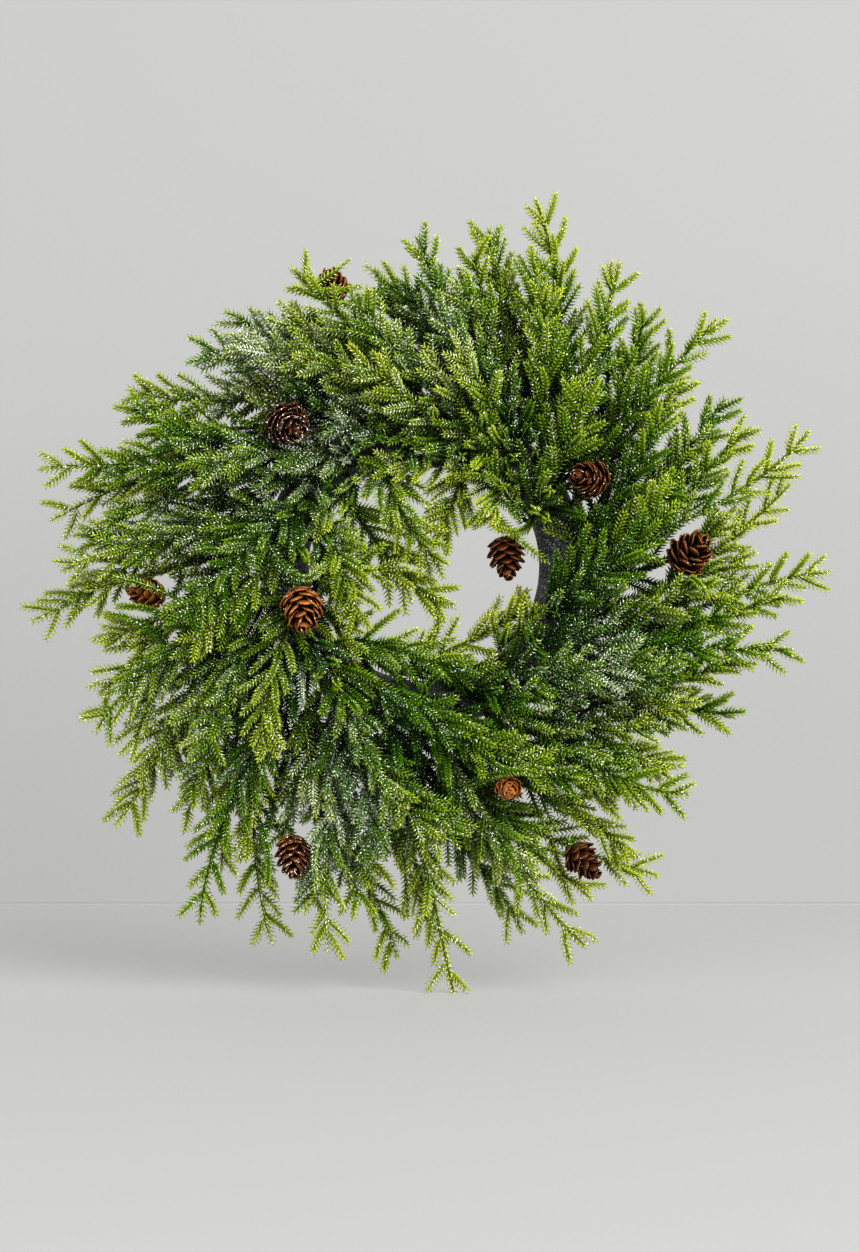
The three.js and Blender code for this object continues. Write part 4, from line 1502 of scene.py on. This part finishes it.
dressed = [dress_spray(spray, stands_for=spray.name) for spray in sprays]
dressed += [dress_spray(spray) for spray in fillers]
triangles = sum(sum(len(face.vertices) - 2 for face in thing.data.polygons) for thing in dressed)
print("sprays:", len(dressed), "with", triangles, "triangles")

# %% [markdown]
# ## The foliage's paint
# Moulded greenery is dyed in its mass: deep green near the ring, fresh yellow-green at the tips, each
# shoot a little different. Deep inside the wreath it is darkened further with painted shade, and at the
# feet of the needles partly by their own deeper green and partly by painted shade. The frost is white
# flock, laid on as a fine noise, with glitter in it, laid on as white specks that also serve as painted
# glints. The specks come from small random cells. A cell holds one if its own number is under a share that
# grows with the shoot's frost.

# %% Foliage finish
GREEN_DEEP = (0.022, 0.105, 0.003)
GREEN_OLIVE = (0.095, 0.145, 0.003)
GREEN_MIDDLE = (0.150, 0.275, 0.010)
GREEN_FRESH = (0.48, 0.54, 0.070)
SHADE_GREEN = (0.005, 0.017, 0.0006)
BARK_BROWN = (0.04, 0.05, 0.012)
FLOCK_WHITE = (0.56, 0.62, 0.47)
GLITTER_AND_GLINT_WHITE = (1.0, 1.0, 0.97)
FOLIAGE_ROUGHNESS = 0.5
FOLIAGE_GLOSS = 0.15
FRESH_FROM_GROWTH = 0.6
FRESH_FROM_TIP = 0.14
FRESH_FROM_TONE = 0.7
FRESH_START = -0.08
MOST_BARK = 0.75
MOST_FOOT_SHADE = 0.25
MOST_DEPTH_SHADE = 0.92
FLOCK_SCALE = 700.0
FLOCK_DETAIL = 2.0
FLOCK_FROM_FROST = 0.35
MOST_FLOCK = 0.6
GLITTER_AND_GLINT_SCALE = 760.0
GLITTER_AND_GLINT_RADIUS = 0.46
GLITTER_AND_GLINT_SHARE = 0.42
GLITTER_AND_GLINTS_EVERYWHERE = 0.03


def foliage_finish():
    foliage = Finish("frosted_foliage")
    growth, out, tone = (foliage.value(name) for name in ("growth", "out", "tone"))
    frost, bark, age = (foliage.value(name) for name in ("frost", "bark", "age"))
    old = foliage.blend(foliage.span(tone, 0.2, 0.9), GREEN_DEEP, GREEN_OLIVE)
    fresh = foliage.plus(foliage.times(growth, FRESH_FROM_GROWTH), foliage.times(out, FRESH_FROM_TIP))
    fresh = foliage.plus(fresh, foliage.times(tone, FRESH_FROM_TONE))
    fresh = foliage.plus(fresh, FRESH_START)
    green = foliage.blend(foliage.span(fresh, 0.25, 0.75), old, GREEN_MIDDLE)
    green = foliage.blend(foliage.span(fresh, 0.65, 1.25), green, GREEN_FRESH)
    green = foliage.blend(foliage.times(bark, MOST_BARK), green, BARK_BROWN)
    flock = foliage.plus(foliage.noise(FLOCK_SCALE, FLOCK_DETAIL), foliage.times(frost, FLOCK_FROM_FROST))
    flock = foliage.times(foliage.span(flock, 0.6, 0.9), foliage.times(frost, MOST_FLOCK))
    colour = foliage.blend(flock, green, FLOCK_WHITE)
    # the feet of the needles are darker: partly their own deeper green, partly painted shade between the
    # needles
    foot_shade = foliage.times(foliage.span(out, 0.3, 0.0), MOST_FOOT_SHADE)
    colour = foliage.blend(foot_shade, colour, SHADE_GREEN)
    # painted shade: the foliage deep inside the wreath near the ring goes nearly black
    colour = foliage.blend(foliage.times(age, MOST_DEPTH_SHADE), colour, SHADE_GREEN)
    # white specks: glitter grains in the frost that also serve as painted glints, with a few on every shoot
    share = foliage.plus(foliage.times(frost, GLITTER_AND_GLINT_SHARE), GLITTER_AND_GLINTS_EVERYWHERE)
    colour = foliage.blend(foliage.specks(GLITTER_AND_GLINT_SCALE, share, GLITTER_AND_GLINT_RADIUS), colour, GLITTER_AND_GLINT_WHITE)
    foliage.shader.inputs["Specular IOR Level"].default_value = FOLIAGE_GLOSS
    return foliage.paint(colour, FOLIAGE_ROUGHNESS)


foliage_paint = foliage_finish()
for thing in dressed:
    thing.data.materials.append(foliage_paint)
print("foliage finish:", foliage_paint.name)

# %% [markdown]
# ## Cones
# A cone is a spindle with its scales set in a spiral: each scale is turned about 137.5 degrees from the one
# before, as nature does it, so no scale stands straight above another. Each scale is a thin spoon that
# starts at the spindle, stands off it, and curls at its broad rim. It is modelled once as a grid bent by a
# few formulas, with its own opening for each cone: some are shut tight and others gape.

# %% A scale
GOLDEN_TURN = 137.508
SCALE_ROWS = 6
SCALE_COLUMNS = 5
SCALE_THICKNESS = 1.0
SCALE_NECK = 0.4
SCALE_FULL_AT = 0.55
SCALE_ROUND_LIP = 0.34
SCALE_LIP_TAPER = 0.2


def scale_sheet(length, width, lean, bend, girth):
    """Places on a scale's middle sheet: across, out from the spindle, and up along it"""
    places = np.zeros((SCALE_ROWS, SCALE_COLUMNS, 3))
    across = np.linspace(-1, 1, SCALE_COLUMNS)
    for i in range(SCALE_ROWS):
        v = i / (SCALE_ROWS - 1)
        opened = math.sin(math.pi / 2 * min(1, v / SCALE_FULL_AT))
        half = width / 2 * (SCALE_NECK + (1 - SCALE_NECK) * opened)
        reached = v * length * (1 - SCALE_ROUND_LIP * across**2 * v**3)
        angle = np.radians(lean + bend * (1 - v))
        aside = across * half * (1 - SCALE_LIP_TAPER * v**4 * across**2)
        places[i, :, 0] = aside
        places[i, :, 1] = reached * np.sin(angle) - aside**2 / (2 * girth)
        places[i, :, 2] = reached * np.cos(angle)
    return places


def sheet_normals(places):
    rows = np.gradient(places, axis=0)
    columns = np.gradient(places, axis=1)
    return unit(np.cross(columns, rows))


def scale_faces(below):
    """The two sides of a scale, and the rim that joins them"""
    grid = np.arange(below).reshape(SCALE_ROWS, SCALE_COLUMNS)
    corners = grid[:-1, :-1], grid[:-1, 1:], grid[1:, 1:], grid[1:, :-1]
    faces = []
    for a, b, c, d in zip(*(corner.flat for corner in corners)):
        faces += [(a, b, c, d), (a + below, d + below, c + below, b + below)]
    rim = [*grid[0], *grid[1:, -1], *grid[-1, -2::-1], *grid[-2:0:-1, 0]]
    for a, b in zip(rim, rim[1:] + rim[:1]):
        faces.append((a, a + below, b + below, b))
    return faces


def scale_skin(places):
    """A closed skin round a sheet, and marks for how near the lip or an edge is, and for the inside"""
    normals = sheet_normals(places) * SCALE_THICKNESS / 2
    vertices = np.concatenate([(places + normals).reshape(-1, 3), (places - normals).reshape(-1, 3)])
    lip = np.repeat(np.arange(SCALE_ROWS) / (SCALE_ROWS - 1), SCALE_COLUMNS)
    aside = np.tile(np.abs(np.linspace(-1, 1, SCALE_COLUMNS)), SCALE_ROWS)
    marks = {"lip": np.tile(lip, 2), "edge": np.tile(np.maximum(lip, aside), 2)}
    marks["inside"] = np.repeat([1.0, 0.0], len(lip))
    return vertices, scale_faces(SCALE_ROWS * SCALE_COLUMNS), marks


print("a scale has", SCALE_ROWS * SCALE_COLUMNS * 2, "vertices")

# %% [markdown]
# The ten cones differ. What the photograph shows of each is written as six numbers: the lean of its scales
# at the foot and at the apex, how many it has, how light its brown is, how ragged it stands and its frost.

# %% The cones' own ways: lean at the foot, lean at the apex, scales, lightness, raggedness, frost
CONE_WAYS = [
    (56, 16, 64, 0.05, 4, 0.6),
    (54, 22, 54, 0.15, 5, 0.2),
    (60, 40, 40, 0.3, 9, 0.05),
    (62, 30, 38, 0.5, 8, 0.1),
    (50, 30, 40, 1.2, 6, 0.15),
    (34, 8, 50, 1.7, 3, 0.15),
    (58, 28, 38, 0.1, 9, 0.05),
    (58, 34, 46, 0.4, 9, 0.5),
    (50, 24, 44, 0.6, 6, 0.3),
    (50, 24, 44, 0.8, 6, 0.1),
]
print("cones to dress:", len(CONE_WAYS))

# %% [markdown]
# A cone is put together from its foot to its apex. Each scale gets its place on the spindle, a length that
# brings its lip to the cone's own round outline, and a width that just covers the gap to its neighbours.
# The last scales close over the apex.

# %% Putting the cones together
SPINDLE_SHARE = 0.22
SPINDLE_REACH = 0.95
SPINDLE_TAPER = 0.5
SPINDLE_MARKS = {"lip": 0.6, "edge": 0.0, "inside": 0.4, "tone": 0.2, "frost": 0.0}
SEAT_DEPTH = 0.7
LONGEST_SCALE = 0.5
LOWEST_FOOT = 0.02
SCALE_CROWDING = 2.3
SCALE_LEAST_WIDTH = 0.5
SCALE_WIDTH_VARIES = 0.1
SCALE_BEND = 16
LEAST_GIRTH = 4
GIRTH_AT_FOOT = 0.16
GIRTH_TO_APEX = 0.825
GIRTH_FULLNESS = 0.6
LOWEST_LIP = 0.1
LIPS_LOWER = 0.9
LEAN_CHANGES_EARLY = 0.7
APEX_FROM = 0.8
APEX_CLOSES = 26
NO_CONES_WAY = np.array([0.36, 0.48, 0.8])


def cone_frame(cone):
    side = off_axis(NO_CONES_WAY, cone.way)
    return side, np.cross(cone.way, side)


def cone_girth(cone, share):
    """The cone's radius at a share of its length: full below the middle, and rounded at the apex"""
    swell = math.sin(math.pi * (GIRTH_AT_FOOT + GIRTH_TO_APEX * share))
    return cone.width / 2 * swell**GIRTH_FULLNESS


def dress_cone(cone, way):
    foot_lean, apex_lean, count, lightness, ragged, frost = way
    chance = np.random.default_rng(int(cone.length * 1000 + cone.width * 10))
    side, front = cone_frame(cone)
    base = cone.centre - cone.way * cone.length / 2
    mould = Mould("lip", "edge", "inside", "tone", "light", "frost")
    spindle = Axis(cone.length, base, cone.centre, base + cone.way * cone.length * SPINDLE_REACH)
    radius = cone.width / 2 * SPINDLE_SHARE
    vertices, faces, _ = tube(spindle, radius, radius * SPINDLE_TAPER)
    mould.pour(vertices, faces, light=lightness, **SPINDLE_MARKS)
    for i in range(count):
        share = i / (count - 1)
        lip_share = LOWEST_LIP + (1 - LOWEST_LIP) * share**LIPS_LOWER
        girth = cone_girth(cone, lip_share)
        lean = foot_lean + (apex_lean - foot_lean) * share**LEAN_CHANGES_EARLY
        lean += chance.uniform(-ragged, ragged)
        stand = radius * (1 - SPINDLE_TAPER * share) * SEAT_DEPTH
        length = (girth - stand) / math.sin(math.radians(lean))
        length = min(length, cone.length * LONGEST_SCALE)
        drop = length * math.cos(math.radians(lean))
        height = max(LOWEST_FOOT * cone.length, lip_share * cone.length - drop)
        width = cone.width * SCALE_CROWDING / math.sqrt(count) * (SCALE_LEAST_WIDTH + girth / cone.width)
        width *= chance.uniform(1 - SCALE_WIDTH_VARIES, 1 + SCALE_WIDTH_VARIES)
        turn = GOLDEN_TURN * i + chance.uniform(-ragged, ragged)
        closing = APEX_CLOSES * max(0, (share - APEX_FROM) / (1 - APEX_FROM))
        sheet = scale_sheet(length, width, lean - closing, SCALE_BEND, max(girth, LEAST_GIRTH))
        outward, across = turned_way(side, front, turn), turned_way(side, front, turn + 90)
        foot = base + cone.way * height + outward * stand
        vertices, faces, marks = scale_skin(sheet)
        places = foot + vertices @ np.array([across, outward, cone.way])
        mould.pour(places, faces, tone=chance.random(), light=lightness, frost=frost, **marks)
    thing = mould.turn_out("dressed_" + cone.name)
    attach(thing, "root")
    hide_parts(cone.name)
    return thing


dressed_cones = [dress_cone(cone, way) for cone, way in zip(cones, CONE_WAYS)]
print("cones:", len(dressed_cones), "with", sum(len(c.data.polygons) for c in dressed_cones), "faces")

# %% [markdown]
# ## The cones' paint
# Dry cones are reddish brown with a waxy gloss. The lip of each scale is paler, partly its own lighter
# brown and partly a painted highlight, and its rim carries a painted highlight. The foot and the inside of
# each scale are darkened as painted shade in the gaps between the scales, and fine lines run along it.

# %% Cone finish
CONE_SHADE_AND_GRAIN = (0.006, 0.0025, 0.001)
CONE_RED = (0.044, 0.0135, 0.004)
CONE_PALE_AND_HIGHLIGHT = (0.52, 0.215, 0.055)
CONE_ROUGHNESS = 0.3
CONE_GLOSS = 0.35
LIP_PALE_AND_HIGHLIGHT = 0.4
LIP_PALE_AND_HIGHLIGHT_VARIES = 0.4
INSIDE_SHADE = 0.75
RIM_HIGHLIGHT = 0.16
RIM_HIGHLIGHT_ON_LIGHT = 0.25
GRAIN_SCALE = 700.0
GRAIN_DARKER = 0.7
CONE_FROST_SCALE = 760.0
CONE_FROST_SHARE = 0.45
CONE_FROST_RADIUS = 0.42


def cone_finish():
    cone_brown = Finish("cone_scales")
    lip, edge, inside = (cone_brown.value(name) for name in ("lip", "edge", "inside"))
    tone, light, frost = (cone_brown.value(name) for name in ("tone", "light", "frost"))
    times, plus, span = cone_brown.times, cone_brown.plus, cone_brown.span
    # painted shade: each scale is darker towards its foot, deep in the gaps between the scales
    body = cone_brown.blend(span(lip, 0.2, 0.75), CONE_SHADE_AND_GRAIN, CONE_RED)
    # paler lips: partly the cone's own lighter brown, partly a painted highlight
    pale_and_highlight = times(plus(times(tone, LIP_PALE_AND_HIGHLIGHT_VARIES), LIP_PALE_AND_HIGHLIGHT), light)
    pale_and_highlight = times(pale_and_highlight, span(lip, 0.4, 0.9), clamp=True)
    body = cone_brown.blend(pale_and_highlight, body, CONE_PALE_AND_HIGHLIGHT)
    # painted shade on the inside of each scale
    body = cone_brown.blend(times(inside, INSIDE_SHADE), body, CONE_SHADE_AND_GRAIN)
    # painted highlight along each scale's rim
    rim = times(span(edge, 0.88, 1.0), plus(times(light, RIM_HIGHLIGHT_ON_LIGHT), RIM_HIGHLIGHT))
    body = cone_brown.blend(rim, body, CONE_PALE_AND_HIGHLIGHT)
    grain = cone_brown.noise(GRAIN_SCALE, 4.0, 0.65)
    body = cone_brown.blend(times(span(grain, 0.5, 0.75), GRAIN_DARKER), body, CONE_SHADE_AND_GRAIN)
    dusted = times(times(frost, span(edge, 0.6, 1.0)), CONE_FROST_SHARE)
    grains = cone_brown.specks(CONE_FROST_SCALE, dusted, CONE_FROST_RADIUS)
    colour = cone_brown.blend(grains, body, GLITTER_AND_GLINT_WHITE)
    cone_brown.relief(grain, 0.0006, 0.8)
    cone_brown.shader.inputs["Specular IOR Level"].default_value = CONE_GLOSS
    return cone_brown.paint(colour, CONE_ROUGHNESS)


cone_paint = cone_finish()
for thing in dressed_cones:
    thing.data.materials.append(cone_paint)
print("cone finish:", cone_paint.name)

# %% [markdown]
# ## The ring
# The solid ring has flat facets, so that stems can stand square on it. The real one is a smooth charcoal
# hoop with a flat back, dusted with the same white flock. Its section is turned round the wreath's axis
# in fine steps, like wood on a lathe.

# %% Ring
RING_BACK_CHAMFER = 2.0
RING_SIDE_STEP = 0.6
FINE_SECTION_STEPS = 28
FINE_SEGMENTS = 180
RING_UNDER_FACETS = 0.25


def ring_profile():
    """Radius and depth round the section, from the back's inner edge over the front and back again"""
    inner_back = (RING_INNER_RADIUS + RING_BACK_CHAMFER, 0.0)
    inner_side = (RING_INNER_RADIUS + RING_SIDE_STEP, RING_SIDE_STEP)
    front = []
    for i in range(FINE_SECTION_STEPS, -1, -1):
        radius, depth = ring_section(180 * i / FINE_SECTION_STEPS)
        front.append((radius, depth - RING_UNDER_FACETS))
    outer_side = (RING_OUTER_RADIUS - RING_SIDE_STEP, RING_SIDE_STEP)
    outer_back = (RING_OUTER_RADIUS - RING_BACK_CHAMFER, 0.0)
    return [inner_back, inner_side, *front, outer_side, outer_back]


def dress_ring():
    section = ring_profile()
    vertices = []
    for s in range(FINE_SEGMENTS):
        turn = 360 * s / FINE_SEGMENTS
        vertices += [on_wreath(turn, radius, depth) for radius, depth in section]
    faces = []
    for s in range(FINE_SEGMENTS):
        here, there = s * len(section), (s + 1) % FINE_SEGMENTS * len(section)
        for k in range(len(section)):
            after = (k + 1) % len(section)
            faces.append((here + k, here + after, there + after, there + k))
    hoop = new_object("dressed_ring", in_scene(vertices), faces)
    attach(hoop, "root")
    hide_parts("ring")
    return hoop


hoop = dress_ring()
print("ring:", len(hoop.data.polygons), "faces")

# %% [markdown]
# The ring's dusting is dense and even: a fine salt-and-pepper of white and grey specks over charcoal. Two
# sizes of cell make it, and a little relief lets the specks catch the light.

# %% Ring finish
CHARCOAL = (0.035, 0.036, 0.04)
SLATE = (0.11, 0.115, 0.12)
DUST = (0.55, 0.57, 0.58)
RING_CLOUD_SCALE = 450.0
RING_ROUGHNESS = 0.8
DUST_RADIUS = 0.4
# The number of cells in a metre, and the share of them that holds a grain
DUST_SIZES = ((1300.0, 0.34), (700.0, 0.12))


def ring_finish():
    ring_grey = Finish("dusted_charcoal")
    cloud = ring_grey.noise(RING_CLOUD_SCALE, 3.0)
    colour = ring_grey.blend(ring_grey.span(cloud, 0.35, 0.7), CHARCOAL, SLATE)
    for scale, share in DUST_SIZES:
        colour = ring_grey.blend(ring_grey.specks(scale, share, DUST_RADIUS), colour, DUST)
    ring_grey.relief(cloud, 0.0005, 0.5)
    return ring_grey.paint(colour, RING_ROUGHNESS)


hoop.data.materials.append(ring_finish())
print("ring finish: dusted_charcoal")
